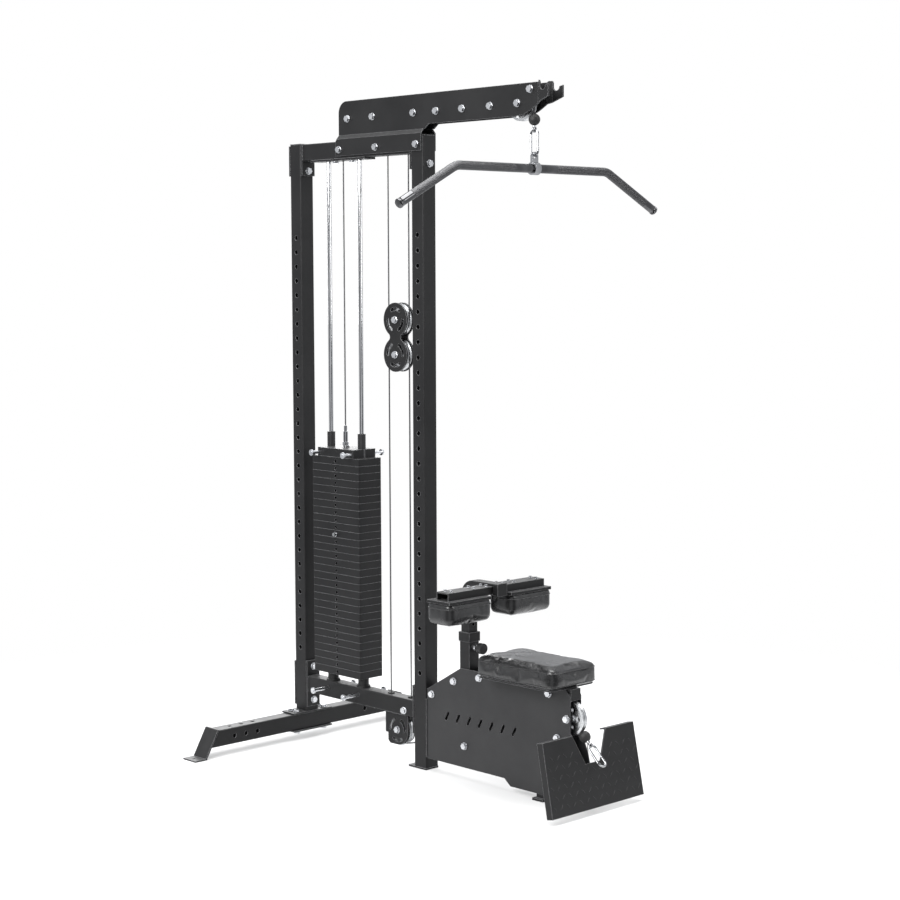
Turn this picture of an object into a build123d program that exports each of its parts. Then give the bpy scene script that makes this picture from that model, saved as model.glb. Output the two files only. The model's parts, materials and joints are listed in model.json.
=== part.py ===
"""Lat pulldown and low row cable machine: a two-upright frame with a selectorised weight stack."""
from build123d import *
import math
import os

os.makedirs("parts", exist_ok=True)

# Frame of reference: +X is forward, from the rear upright to the seat, +Y is the machine's left when
# facing forward, +Z is up, and the origin is on the floor under the front upright.

# Square tube and hole grid
tube = 58.0
tube_half = tube / 2
wall = 3.0
hole_pitch = 50.8
hole_radius = 8.0
hole_count = 30
top_hole_z = 1803.0

# Uprights and crossbeams
rear_x = -634.0
frame_top = 2131.0
foot_low, foot_high = 36.0, 94.0
rear_upright_low = foot_high + 6.0
front_upright_low = 6.0
beam_half_width = 25.0
top_beam_low, top_beam_high = 2073.0, 2131.0
low_beam_low, low_beam_high = 170.0, 229.0
flange = 8.0

# Fasteners
shank = 6.0
shank_hole = 6.4
bearing_bore = 6.05
head_across = 19.0
head_thick = 7.0
washer_radius = 12.5
washer_thick = 2.0

# Pulleys and cable
cable_radius = 2.5
pitch_radius = 51.0
pulley_radius = 55.0
pulley_half = 11.0
top_pulley_z = 2206.0
top_pulley_x = (-356.0, -227.0, -23.0, 457.0)
block_x = -125.0
block_upper_z, block_lower_z = 1520.0, 1402.0
block_inner, block_plate = 13.0, 5.0
return_x, return_z = -125.0, 112.0
row_pulley_x, row_pulley_z = 672.0, 283.0
roller_x, roller_z, roller_radius = 632.0, 216.5, 12.5
cable_top_z = top_pulley_z + pitch_radius
stack_x = top_pulley_x[0] - pitch_radius
down_x = top_pulley_x[1] + pitch_radius
up_x = top_pulley_x[2] - pitch_radius
lat_x = top_pulley_x[3] + pitch_radius
row_exit_z = row_pulley_z - pitch_radius

# Overhead arm
arm_inner, arm_plate = 18.0, 5.0
arm_outer = arm_inner + arm_plate
arm_rear, arm_front = -403.0, 600.0
arm_low, arm_high = 2166.0, 2266.0
arm_skirt_low, arm_skirt_high = 2080.0, 2138.0
arm_tie_x = (86.0, 209.0, 336.0)
arm_tie_z = 2205.0
keeper_x, keeper_z = 512.0, 2246.0
skirt_bolt_x = (-390.0, -201.0, 0.0)
skirt_bolt_z = 2102.0

# Weight stack
stack_centre_x = -403.0
stack_length, stack_width = 249.0, 104.0
stack_low = 267.0
plate_count = 30
lifted_count = 11
plate_pitch = 25.7
plate_thick = 25.2
stack_top = stack_low + plate_count * plate_pitch
rod_offset = 81.5
rod_radius = 8.0
rod_low, rod_high = low_beam_high, 2066.0
head_low, head_high = stack_top, stack_top + 30.0
head_length = 192.0
selector_radius = 11.0
fitting_top = 1146.0

# Seat frame
seat_inner, seat_plate = 22.0, 4.0
seat_outer = seat_inner + seat_plate
seat_rear = 33.0
cushion_rear, cushion_front = 352.0, 678.0
cushion_half = 106.0
cushion_low, cushion_high = 384.0, 448.0
seat_bolts_at = ((57.0, 266.0), (163.0, 326.0), (283.0, 355.0), (595.0, 353.0), (214.0, 116.0))

# Knee pads
post_x = 211.0
post_half = 19.5
sleeve_half = 22.0
collar_half = 25.0
sleeve_low, sleeve_high = 230.0, 497.0
collar_low = 466.0
knee_arm_z = 653.0
knee_arm_end = 362.0
pad_rear, pad_front = 254.0, 364.0
pad_inner, pad_outer = 43.0, 237.0
pad_low, pad_high = 560.0, 628.0

knob_x = post_x + sleeve_half

# Lat bar
bar_z = 2001.0
bar_radius = 14.0
bar_bend_y = 339.0
bar_tip_y = 570.0
bar_tip_z = 1883.0
ball_radius = 18.5
lat_ball_z = 2153.0


def write(piece, name):
    """Label one finished piece and write it."""
    piece.part.label = name
    export_step(piece.part, f"parts/{name}.step")


def side(y):
    """A sketch plane with x along +X and y along +Z; extruding a positive amount goes towards -Y."""
    return Plane(origin=(0, y, 0), x_dir=(1, 0, 0), z_dir=(0, -1, 0))


def front(x):
    """A sketch plane with x along +Y and y along +Z; extruding a positive amount goes towards +X."""
    return Plane(origin=(x, 0, 0), x_dir=(0, 1, 0), z_dir=(1, 0, 0))


def hex_head(plane, amount=head_thick):
    """A hexagon head on a washer, standing on a plane that is already placed at its centre."""
    with BuildSketch(plane) as face:
        Circle(washer_radius)
    extrude(face.sketch, amount=washer_thick)
    with BuildSketch(plane.offset(washer_thick)) as face:
        RegularPolygon(head_across / 2, 6, major_radius=False)
    extrude(face.sketch, amount=amount)


def cross_bolt(x, z, half):
    """A bolt along Y through both faces at +-half, with a head on each side."""
    hex_head(Plane(origin=(x, -half, z), x_dir=(1, 0, 0), z_dir=(0, -1, 0)))
    hex_head(Plane(origin=(x, half, z), x_dir=(1, 0, 0), z_dir=(0, 1, 0)))
    with BuildSketch(side(half).shift_origin((x, half, z))) as face:
        Circle(shank)
    extrude(face.sketch, amount=2 * half)


def cross_holes(points, radius=shank_hole, reach=60.0):
    """Holes along Y through whatever is being built."""
    with BuildSketch(side(reach)) as face:
        with Locations(*points):
            Circle(radius)
    extrude(face.sketch, amount=2 * reach, mode=Mode.SUBTRACT)


def sheave(x, z, hub=pulley_half, bore=bearing_bore):
    """A grooved pulley turning about Y at (x, z), with a ring of lightening holes in its web."""
    groove = cable_radius + 0.3
    with BuildSketch(Plane(origin=(x, 0, z), x_dir=(1, 0, 0), z_dir=(0, 0, 1))) as face:
        with BuildLine():
            Polyline(
                (bore, -hub), (14, -hub), (14, -5.5), (42, -4.5), (46, -9), (pulley_radius, -9),
                (pulley_radius, -6.5), (pitch_radius, -groove),
            )
            ThreePointArc((pitch_radius, -groove), (pitch_radius - groove, 0), (pitch_radius, groove))
            Polyline(
                (pitch_radius, groove), (pulley_radius, 6.5), (pulley_radius, 9), (46, 9), (42, 4.5),
                (14, 5.5), (14, hub), (bore, hub), (bore, -hub),
            )
        make_face()
    revolve(face.sketch, axis=Axis((x, 0, z), (0, 1, 0)))
    with BuildSketch(side(20)) as face:
        with Locations((x, z)):
            with PolarLocations(28, 5):
                Circle(8.5)
    extrude(face.sketch, amount=40, mode=Mode.SUBTRACT)


def box_between(x0, x1, y0, y1, z0, z1, mode=Mode.ADD):
    """A block between two corners."""
    with BuildSketch(Plane.XY.offset(z0)) as face:
        with Locations(((x0 + x1) / 2, (y0 + y1) / 2)):
            Rectangle(abs(x1 - x0), abs(y1 - y0))
    extrude(face.sketch, amount=z1 - z0, mode=mode)


# Frame.
def upright(x, low):
    """A square tube with a column of holes through its two side faces."""
    with BuildSketch(Plane.XY.offset(low)) as face:
        with Locations((x, 0)):
            RectangleRounded(tube, tube, 5)
            RectangleRounded(tube - 2 * wall, tube - 2 * wall, 3, mode=Mode.SUBTRACT)
    extrude(face.sketch, amount=frame_top - low)
    with BuildSketch(side(tube)) as face:
        with Locations(*[(x, top_hole_z - hole_pitch * i) for i in range(hole_count)]):
            Circle(hole_radius)
    extrude(face.sketch, amount=2 * tube, mode=Mode.SUBTRACT)


flange_bolt_z = {"top": (2038.0,), "low": (140.0, 262.0)}

with BuildPart() as rear_upright:
    upright(rear_x, rear_upright_low)
    with BuildSketch(front(rear_x - tube)):
        with Locations(*[(0, z) for z in flange_bolt_z["top"] + flange_bolt_z["low"]]):
            Circle(shank_hole)
    extrude(amount=2 * tube, mode=Mode.SUBTRACT)
write(rear_upright, "rear_upright")

with BuildPart() as front_upright:
    upright(0, front_upright_low)
    with BuildSketch(front(-tube)):
        with Locations(*[(0, z) for z in flange_bolt_z["top"] + flange_bolt_z["low"][1:]]):
            Circle(shank_hole)
        with Locations((0, 101)):
            SlotOverall(60, 18, rotation=90)
    extrude(amount=2 * tube, mode=Mode.SUBTRACT)
    cross_holes([(0, skirt_bolt_z)])
write(front_upright, "front_upright")

with BuildPart() as front_feet:
    with BuildSketch():
        with Locations((-14.5, 0)):
            RectangleRounded(87, 60, 3)
    extrude(amount=front_upright_low)
    box_between(532, 578, -36, 36, 0, 8)
    box_between(540, 570, -24, 24, 8, 21)
write(front_feet, "front_feet")

with BuildPart() as upright_caps:
    for x in (rear_x, 0):
        box_between(x - tube_half, x + tube_half, -tube_half, tube_half, frame_top, frame_top + 2.5)
    fillet(upright_caps.edges().group_by(Axis.Z)[-1], 1.2)
    with BuildSketch(Plane.XY.offset(frame_top - 14)):
        with Locations((rear_x, 0), (0, 0)):
            RectangleRounded(tube - 2 * wall - 1, tube - 2 * wall - 1, 4)
    extrude(amount=14)
write(upright_caps, "upright_caps")

# The rear foot is a tube along Y whose ends are cut at a slant and closed by bent plates.
foot_half = 462.0
foot_slant = 34.0
foot_bolt_y = 62.0
foot_hole_y = (-354.0, -303.0, -252.0, 252.0, 303.0, 354.0)

with BuildPart() as rear_foot:
    with BuildSketch(Plane(origin=(rear_x, -foot_half, (foot_low + foot_high) / 2), x_dir=(1, 0, 0), z_dir=(0, 1, 0))):
        RectangleRounded(tube, tube, 5)
        RectangleRounded(tube - 2 * wall, tube - 2 * wall, 3, mode=Mode.SUBTRACT)
    extrude(amount=2 * foot_half)
    for sign in (-1, 1):
        with BuildSketch(front(rear_x - tube)):
            with BuildLine():
                Polyline(
                    (sign * foot_half, foot_low - 1), (sign * (foot_half - foot_slant), foot_high + 1),
                    (sign * (foot_half + 10), foot_high + 1), (sign * (foot_half + 10), foot_low - 1),
                    (sign * foot_half, foot_low - 1),
                )
            make_face()
        extrude(amount=2 * tube, mode=Mode.SUBTRACT)
    with BuildSketch(front(rear_x - tube)):
        with Locations(*[(y, (foot_low + foot_high) / 2) for y in foot_hole_y]):
            Circle(hole_radius)
    extrude(amount=2 * tube, mode=Mode.SUBTRACT)
    with BuildSketch(Plane.XY):
        with Locations(*[(rear_x, y) for y in foot_hole_y]):
            Circle(hole_radius)
        with Locations(*[(rear_x + dx, y) for dx in (-16, 16) for y in (-foot_bolt_y, foot_bolt_y)]):
            Circle(shank_hole)
    extrude(amount=120, mode=Mode.SUBTRACT)
    for sign in (-1, 1):
        slope = foot_slant / (foot_high - foot_low)
        y_floor = foot_half + slope * foot_low
        y_top = foot_half - slope * (foot_high + 5 - foot_low)
        with BuildSketch(front(rear_x - 36)):
            with BuildLine():
                Polyline(
                    (sign * (y_floor - 5), 5), (sign * y_top, foot_high + 5), (sign * (y_top + 6), foot_high + 5),
                    (sign * (y_floor + 1.5), 5), (sign * (y_floor + 46), 5), (sign * (y_floor + 46), 0),
                    (sign * (y_floor - 5), 0), (sign * (y_floor - 5), 5),
                )
            make_face()
        extrude(amount=72)
        with BuildSketch(Plane.XY):
            with Locations((rear_x, sign * (y_floor + 26))):
                Circle(6)
        extrude(amount=6, mode=Mode.SUBTRACT)
write(rear_foot, "rear_foot")

with BuildPart() as rear_brackets:
    box_between(rear_x - 36, rear_x + 36, -88, 88, foot_high, rear_upright_low)
    with BuildSketch(Plane.XY.offset(foot_high)):
        with Locations(*[(rear_x + dx, y) for dx in (-16, 16) for y in (-foot_bolt_y, foot_bolt_y)]):
            Circle(shank_hole)
    extrude(amount=10, mode=Mode.SUBTRACT)
    box_between(rear_x - 36, rear_x + 36, -88, 88, foot_low - 5, foot_low)
    with BuildSketch(Plane.XY):
        with Locations(*[(rear_x + dx, y) for dx in (-16, 16) for y in (-foot_bolt_y, foot_bolt_y)]):
            Circle(shank_hole)
    extrude(amount=60, mode=Mode.SUBTRACT)
    box_between(rear_x - tube_half - 6, rear_x - tube_half, -tube_half, tube_half, 2021, 2127)
    box_between(rear_x - tube_half - 6, rear_x - tube_half, -tube_half, tube_half, 117, 277)
    with BuildSketch(front(rear_x - tube)):
        with Locations(*[(0, z) for z in flange_bolt_z["top"] + flange_bolt_z["low"]]):
            Circle(shank_hole)
    extrude(amount=tube - 20, mode=Mode.SUBTRACT)
write(rear_brackets, "rear_brackets")


def crossbeam(low, high, flange_low, flange_high, bolts):
    """A rectangular tube between the uprights with a bolting flange at each end."""
    x0, x1 = rear_x + tube_half, -tube_half
    with BuildSketch(front(x0 + flange)) as face:
        with Locations((0, (low + high) / 2)):
            RectangleRounded(2 * beam_half_width, high - low, 4)
            RectangleRounded(2 * beam_half_width - 2 * wall, high - low - 2 * wall, 2, mode=Mode.SUBTRACT)
    extrude(face.sketch, amount=x1 - x0 - 2 * flange)
    for x in (x0, x1 - flange):
        box_between(x, x + flange, -tube_half, tube_half, flange_low, flange_high)
    with BuildSketch(front(x0 - 1)) as face:
        with Locations(*[(0, z) for z in bolts]):
            Circle(shank_hole)
    extrude(face.sketch, amount=flange + 2, mode=Mode.SUBTRACT)
    with BuildSketch(front(x1 - flange - 1)) as face:
        with Locations(*[(0, z) for z in bolts]):
            Circle(shank_hole)
    extrude(face.sketch, amount=flange + 2, mode=Mode.SUBTRACT)


def kidney_slots(x, z, start):
    """Three curved slots round a pulley's axle, cut into the sketch being drawn."""
    inner, outer, sweep_angle = 31.5, 42.5, 60
    middle, cap = (inner + outer) / 2, (outer - inner) / 2

    def at(radius, angle, ahead=0.0):
        turn = math.radians(angle)
        return (
            x + radius * math.cos(turn) - ahead * math.sin(turn), z + radius * math.sin(turn) + ahead * math.cos(turn),
        )
    for i in range(3):
        first = start + 120 * i
        last, half_way = first + sweep_angle, first + sweep_angle / 2
        with BuildLine() as ring:
            ThreePointArc(at(outer, first), at(outer, half_way), at(outer, last))
            ThreePointArc(at(outer, last), at(middle, last, cap), at(inner, last))
            ThreePointArc(at(inner, last), at(inner, half_way), at(inner, first))
            ThreePointArc(at(inner, first), at(middle, first, -cap), at(outer, first))
        make_face(ring.edges(), mode=Mode.SUBTRACT)


rod_x = (stack_centre_x - rod_offset, stack_centre_x + rod_offset)

with BuildPart() as top_crossbeam:
    crossbeam(top_beam_low, top_beam_high, 2021, top_beam_high, flange_bolt_z["top"])
    cross_holes([(x, skirt_bolt_z) for x in skirt_bolt_x[:2]])
    box_between(-554, -268, -25, 25, rod_high, top_beam_low)
    with BuildSketch(Plane.XY.offset(rod_high - 5)):
        with Locations((stack_x, 0), (down_x, 0), (up_x, 0)):
            Circle(9)
    extrude(amount=90, mode=Mode.SUBTRACT)
write(top_crossbeam, "top_crossbeam")

bracket_bolt_x, bracket_bolt_z = -84.0, 187.0

with BuildPart() as bottom_crossbeam:
    crossbeam(low_beam_low, low_beam_high, 171 - 54, 284, flange_bolt_z["low"])
    with BuildSketch(Plane.XY.offset(low_beam_low - 5)):
        with Locations((down_x, 0), (up_x, 0)):
            Circle(9)
    extrude(amount=80, mode=Mode.SUBTRACT)
    cross_holes([(x, 204) for x in rod_x], radius=6.3)
    cross_holes([(bracket_bolt_x, bracket_bolt_z)])
    for y in (-block_inner, block_inner + block_plate):
        with BuildSketch(side(y)) as outline:
            with BuildLine():
                Polyline(
                    (return_x + 52, low_beam_low), (return_x - 61, low_beam_low), (return_x - 61, 96),
                    (return_x - 48, 96), (return_x - 48, 70), (return_x - 38, return_z - 52), (return_x, return_z - 52),
                )
                RadiusArc((return_x, return_z - 52), (return_x + 52, return_z), -52)
                Line((return_x + 52, return_z), (return_x + 52, low_beam_low))
            make_face()
            with Locations((return_x, return_z)):
                Circle(shank_hole, mode=Mode.SUBTRACT)
            kidney_slots(return_x, return_z, 240)
        extrude(amount=block_plate)
    box_between(return_x - 61, return_x + 38, -22, 22, low_beam_low - 2, low_beam_low)
    with BuildSketch(Plane.XY.offset(150)):
        with Locations((down_x, 0)):
            Circle(7)
    extrude(amount=25, mode=Mode.SUBTRACT)
write(bottom_crossbeam, "bottom_crossbeam")


def peg(x, z, y0, y1, sign):
    """A plated peg along Y with a large washer near its outer end."""
    plane = Plane(origin=(x, sign * y0, z), x_dir=(1, 0, 0), z_dir=(0, sign, 0))
    with BuildSketch(plane) as face:
        Circle(6)
    extrude(face.sketch, amount=y1 - y0)
    with BuildSketch(plane.offset(y1 - y0 - 9)) as face:
        Circle(11)
    extrude(face.sketch, amount=5)


def frame_bolt(x0, x1, z):
    """A bolt along X between two faces, with a head at each end."""
    hex_head(Plane(origin=(x1, 0, z), x_dir=(0, 1, 0), z_dir=(1, 0, 0)))
    hex_head(Plane(origin=(x0, 0, z), x_dir=(0, 1, 0), z_dir=(-1, 0, 0)))
    with BuildSketch(front(x0)) as face:
        with Locations((0, z)):
            Circle(shank)
    extrude(face.sketch, amount=x1 - x0)


with BuildPart() as frame_bolts:
    for z in flange_bolt_z["top"] + flange_bolt_z["low"]:
        frame_bolt(rear_x - tube_half - 6, rear_x + tube_half + flange, z)
    for z in flange_bolt_z["top"] + flange_bolt_z["low"][1:]:
        frame_bolt(-tube_half - flange, tube_half, z)
    for dx in (-16, 16):
        for y in (-foot_bolt_y, foot_bolt_y):
            hex_head(Plane(origin=(rear_x + dx, y, rear_upright_low)))
            hex_head(Plane(origin=(rear_x + dx, y, foot_low - 5), z_dir=(0, 0, -1)))
            with BuildSketch(Plane(origin=(rear_x + dx, y, foot_low - 5))):
                Circle(shank)
            extrude(amount=rear_upright_low - foot_low + 5)
    cross_bolt(return_x, return_z, block_inner + block_plate)
    for sign in (-1, 1):
        bolt_plane = Plane(origin=(bracket_bolt_x, sign * beam_half_width, bracket_bolt_z), z_dir=(0, sign, 0))
        hex_head(bolt_plane)
        with BuildSketch(bolt_plane):
            Circle(shank)
        extrude(amount=-9)
    for x in (stack_centre_x - 44, stack_centre_x + 44):
        hex_head(Plane(origin=(x, 0, rod_high), z_dir=(0, 0, -1)), 5)
    for x in rod_x:
        for sign in (-1, 1):
            peg(x, 204, beam_half_width, 101, sign)
write(frame_bolts, "frame_bolts")

with BuildPart() as rubber_bumpers:
    for x in (down_x, up_x):
        with BuildSketch(Plane.XY.offset(low_beam_high)):
            with Locations((x, 0)):
                Circle(12)
                Circle(cable_radius + 1.5, mode=Mode.SUBTRACT)
        extrude(amount=4)
        with BuildSketch(Plane.XY.offset(low_beam_high - wall)):
            with Locations((x, 0)):
                Circle(8.8)
                Circle(cable_radius + 1.5, mode=Mode.SUBTRACT)
        extrude(amount=wall)
    for x in rod_x:
        for radius, low, high in ((24, low_beam_high, low_beam_high + 6), (19, low_beam_high + 6, stack_low)):
            with BuildSketch(Plane.XY.offset(low)):
                with Locations((x, 0)):
                    Circle(radius)
                    Circle(rod_radius + 0.2, mode=Mode.SUBTRACT)
            extrude(amount=high - low)
    with BuildSketch(Plane.XY.offset(low_beam_low - 16)):
        with Locations((up_x, 0)):
            Circle(10)
            Circle(cable_radius, mode=Mode.SUBTRACT)
    extrude(amount=16)
write(rubber_bumpers, "rubber_bumpers")

# Overhead arm.
arm_holes = [(x, top_pulley_z) for x in top_pulley_x] + [(x, arm_tie_z) for x in arm_tie_x]
arm_holes.append((keeper_x, keeper_z))
flare = 9.0
flare_start, flare_end = 545.0, 560.0
rest_x, rest_z, rest_radius = 574.0, 2252.0, 12.5


def arm_side(sign):
    """One side plate of the arm: a skirt on the crossbeam, a joggle inward, a deep blade and a hook."""
    def facing(y):
        return Plane(origin=(0, sign * y, 0), x_dir=(1, 0, 0), z_dir=(0, -1, 0))
    out = -sign
    # deep blade
    with BuildSketch(facing(arm_inner)) as face:
        with BuildLine():
            Polyline(
                (flare_start, arm_high), (flare_start, 2199), (508, 2179), (482, arm_low + 3), (450, arm_low),
                (50, arm_low), (30, 2151), (arm_rear, 2151), (arm_rear, arm_high - 40),
            )
            RadiusArc((arm_rear, arm_high - 40), (arm_rear + 40, arm_high), 40)
            Line((arm_rear + 40, arm_high), (flare_start, arm_high))
        make_face()
    extrude(face.sketch, amount=out * arm_plate)
    # skirt
    with BuildSketch(facing(tube_half)) as face:
        with BuildLine():
            Polyline(
                (arm_rear - 5, arm_skirt_low), (tube_half - 5, arm_skirt_low), (tube_half - 5, arm_skirt_high),
                (arm_rear, arm_skirt_high), (arm_rear - 5, arm_skirt_high - 8), (arm_rear - 5, arm_skirt_low),
            )
        make_face()
    extrude(face.sketch, amount=out * arm_plate)
    # joggle between them
    with BuildSketch(front(arm_rear)) as face:
        with BuildLine():
            Polyline(
                (sign * tube_half, arm_skirt_high), (sign * (tube_half + arm_plate), arm_skirt_high),
                (sign * arm_outer, 2151), (sign * arm_inner, 2151), (sign * tube_half, arm_skirt_high),
            )
        make_face()
    extrude(face.sketch, amount=tube_half - 5 - arm_rear)
    # flared tip with the bar rest
    with BuildSketch(Plane.XY.offset(2190)) as face:
        with BuildLine():
            Polyline(
                (flare_start, sign * arm_inner), (flare_end, sign * (arm_inner + flare)),
                (arm_front, sign * (arm_inner + flare + 4)), (arm_front, sign * (arm_outer + flare + 4)),
                (flare_end - 3, sign * (arm_outer + flare)), (flare_start, sign * arm_outer),
                (flare_start, sign * arm_inner),
            )
        make_face()
    extrude(face.sketch, amount=arm_high + 4 - 2190)
    with BuildSketch(Plane(origin=(0, 100, 0), x_dir=(1, 0, 0), z_dir=(0, -1, 0))) as face:
        with BuildLine():
            Polyline(
                (flare_start - 1, 2180), (flare_start - 1, 2198.5), (arm_front, 2219), (arm_front + 5, 2219),
                (arm_front + 5, 2180), (flare_start - 1, 2180),
            )
        make_face()
        with Locations((rest_x, rest_z)):
            Circle(rest_radius)
        with BuildLine():
            Polyline(
                (rest_x - rest_radius, rest_z), (rest_x - rest_radius, arm_high - 2), (rest_x - rest_radius - 4, arm_high + 5),
                (arm_front + 5, arm_high + 5), (arm_front + 5, arm_high - 6), (arm_front - 1, arm_high - 11),
                (rest_x + rest_radius, rest_z), (rest_x - rest_radius, rest_z),
            )
        make_face()
        with BuildLine():
            Polyline(
                (flare_start - 1, arm_high - 1), (flare_start - 1, arm_high + 5), (flare_start + 5, arm_high + 5),
                (flare_start - 1, arm_high - 1),
            )
        make_face()
    extrude(face.sketch, amount=200, mode=Mode.SUBTRACT)
    cross_holes(arm_holes)
    cross_holes([(x, skirt_bolt_z) for x in skirt_bolt_x])


with BuildPart() as arm_plate_right:
    arm_side(-1)
write(arm_plate_right, "arm_plate_right")

with BuildPart() as arm_plate_left:
    arm_side(1)
write(arm_plate_left, "arm_plate_left")

with BuildPart() as arm_spacers:
    for x, z in [(x, arm_tie_z) for x in arm_tie_x] + [(keeper_x, keeper_z)]:
        with BuildSketch(side(arm_inner)):
            with Locations((x, z)):
                Circle(9)
                Circle(shank_hole, mode=Mode.SUBTRACT)
        extrude(amount=2 * arm_inner)
    for x in top_pulley_x:
        for y0, y1 in ((-arm_inner, -pulley_half - 0.3), (pulley_half + 0.3, arm_inner)):
            with BuildSketch(side(y1)):
                with Locations((x, top_pulley_z)):
                    Circle(10)
                    Circle(shank_hole, mode=Mode.SUBTRACT)
            extrude(amount=y1 - y0)
write(arm_spacers, "arm_spacers")

with BuildPart() as arm_bolts:
    for x, z in arm_holes:
        cross_bolt(x, z, arm_outer)
    for x in skirt_bolt_x:
        cross_bolt(x, skirt_bolt_z, tube_half + arm_plate)
write(arm_bolts, "arm_bolts")

for name, x in zip(("stack_pulley", "crossover_pulley", "riser_pulley", "lat_pulley"), top_pulley_x):
    with BuildPart() as top_pulley:
        sheave(x, top_pulley_z)
    write(top_pulley, name)

# Guide rods and weight stack.
with BuildPart() as guide_rods:
    for x in rod_x:
        with BuildSketch(Plane.XY.offset(rod_low)):
            with Locations((x, 0)):
                Circle(rod_radius)
        extrude(amount=rod_high - rod_low)
write(guide_rods, "guide_rods")


def weight_plates(first, count):
    """A run of plates, counted from the bottom, each with its rod, selector and pin holes."""
    for i in range(first, first + count):
        z = stack_low + i * plate_pitch
        with BuildSketch(Plane.XY.offset(z)) as face:
            with Locations((stack_centre_x, 0)):
                RectangleRounded(stack_length, stack_width, 4)
                Circle(selector_radius + 1.0, mode=Mode.SUBTRACT)
            with Locations(*[(x, 0) for x in rod_x]):
                Circle(rod_radius + 1.5, mode=Mode.SUBTRACT)
        extrude(face.sketch, amount=plate_thick)
    with BuildSketch(side(0)) as face:
        with Locations(*[(stack_centre_x, stack_low + (i + 0.42) * plate_pitch) for i in range(first, first + count)]):
            Circle(5.2)
    extrude(face.sketch, amount=stack_width, mode=Mode.SUBTRACT)


with BuildPart() as resting_plates:
    weight_plates(0, plate_count - lifted_count)
write(resting_plates, "resting_plates")

with BuildPart() as lifted_plates:
    weight_plates(plate_count - lifted_count, lifted_count)
write(lifted_plates, "lifted_plates")

with BuildPart() as stack_head:
    with BuildSketch(Plane.XY.offset(head_low)):
        with Locations((stack_centre_x, 0)):
            RectangleRounded(head_length, stack_width, 4)
        with Locations((stack_centre_x, 0)):
            Circle(selector_radius + 0.2, mode=Mode.SUBTRACT)
        with Locations(*[(x, 0) for x in rod_x]):
            Circle(14.2, mode=Mode.SUBTRACT)
    extrude(amount=head_high - head_low)
write(stack_head, "stack_head")

pin_z = stack_low + (plate_count - lifted_count + 0.42) * plate_pitch

with BuildPart() as selector_rod:
    with BuildSketch(Plane.XY.offset(stack_low + 2)):
        with Locations((stack_centre_x, 0)):
            Circle(selector_radius)
    extrude(amount=head_high + 8 - stack_low - 2)
    with BuildSketch(side(30)):
        with Locations(*[(stack_centre_x, stack_low + (i + 0.42) * plate_pitch) for i in range(plate_count)]):
            Circle(5.2)
    extrude(amount=60, mode=Mode.SUBTRACT)
    with BuildSketch(Plane.XY.offset(head_high + 8)):
        with Locations((stack_x, 0)):
            RegularPolygon(11, 6)
    extrude(amount=12)
    with BuildSketch(Plane.XY.offset(head_high + 20)):
        with Locations((stack_x, 0)):
            Circle(8)
    extrude(amount=38)
    with BuildSketch(Plane.XY.offset(head_high + 58)):
        with Locations((stack_x, 0)):
            Circle(5.5)
    extrude(amount=fitting_top - head_high - 58)
write(selector_rod, "selector_rod")


with BuildPart() as head_fittings:
    for x in rod_x:
        with BuildSketch(Plane.XY.offset(head_low + 1)):
            with Locations((x, 0)):
                Circle(14)
                Circle(rod_radius + 0.09, mode=Mode.SUBTRACT)
        extrude(amount=1120 - head_low)
    for x in (stack_centre_x - head_length / 2 + 12, stack_centre_x + head_length / 2 - 12):
        for sign in (-1, 1):
            peg(x, head_low + 13, stack_width / 2, 96, sign)
write(head_fittings, "head_fittings")

with BuildPart() as selector_pin:
    with BuildSketch(side(-stack_width / 2)):
        with Locations((stack_centre_x, pin_z)):
            Circle(9)
    extrude(amount=4)
    with BuildSketch(side(10)):
        with Locations((stack_centre_x, pin_z)):
            Circle(5.0)
    extrude(amount=stack_width / 2 + 10)
    with BuildSketch(side(-stack_width / 2 - 4)):
        with Locations((stack_centre_x, pin_z)):
            Circle(6.5)
    extrude(amount=8)
write(selector_pin, "selector_pin")

# Floating pulley block.
block_centres = ((block_x, block_upper_z), (block_x, block_lower_z))
block_mid_z = (block_upper_z + block_lower_z) / 2


lobe_radius, waist_half = 58.0, 27.0
lobe_offset = (block_upper_z - block_lower_z) / 2
neck = (waist_half ** 2 + lobe_offset ** 2 - lobe_radius ** 2) / (2 * (lobe_radius - waist_half))


def waist(side_sign, rise_sign):
    """Where the concave neck of the block's plate meets one of its two round lobes."""
    share = lobe_radius / (lobe_radius + neck)
    return (block_x + side_sign * (waist_half + neck) * share, block_mid_z + rise_sign * lobe_offset * (1 - share))


def block_side(y):
    """A figure-of-eight side plate with three curved slots round each axle."""
    with BuildSketch(side(y)) as outline:
        with Locations(*block_centres):
            Circle(lobe_radius)
        with BuildLine():
            ThreePointArc(waist(1, 1), (block_x + waist_half, block_mid_z), waist(1, -1))
            Line(waist(1, -1), waist(-1, -1))
            ThreePointArc(waist(-1, -1), (block_x - waist_half, block_mid_z), waist(-1, 1))
            Line(waist(-1, 1), waist(1, 1))
        make_face()
        with Locations(*block_centres):
            Circle(shank_hole, mode=Mode.SUBTRACT)
        kidney_slots(block_x, block_upper_z, 59)
        kidney_slots(block_x, block_lower_z, -1)
    extrude(outline.sketch, amount=block_plate)


with BuildPart() as block_plates:
    block_side(-block_inner)
    block_side(block_inner + block_plate)
write(block_plates, "block_plates")

with BuildPart() as block_bolts:
    for x, z in block_centres:
        cross_bolt(x, z, block_inner + block_plate)
write(block_bolts, "block_bolts")

for name, z in (("block_upper_pulley", block_upper_z), ("block_lower_pulley", block_lower_z)):
    with BuildPart() as block_pulley:
        sheave(block_x, z, hub=block_inner - 0.4)
    write(block_pulley, name)

# Return pulley under the low beam.
with BuildPart() as return_pulley:
    sheave(return_x, return_z, hub=block_inner - 0.4)
write(return_pulley, "return_pulley")

# Seat frame.
seat_tie_points = list(seat_bolts_at)
seat_front_points = [(row_pulley_x, row_pulley_z), (roller_x, roller_z)]


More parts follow.
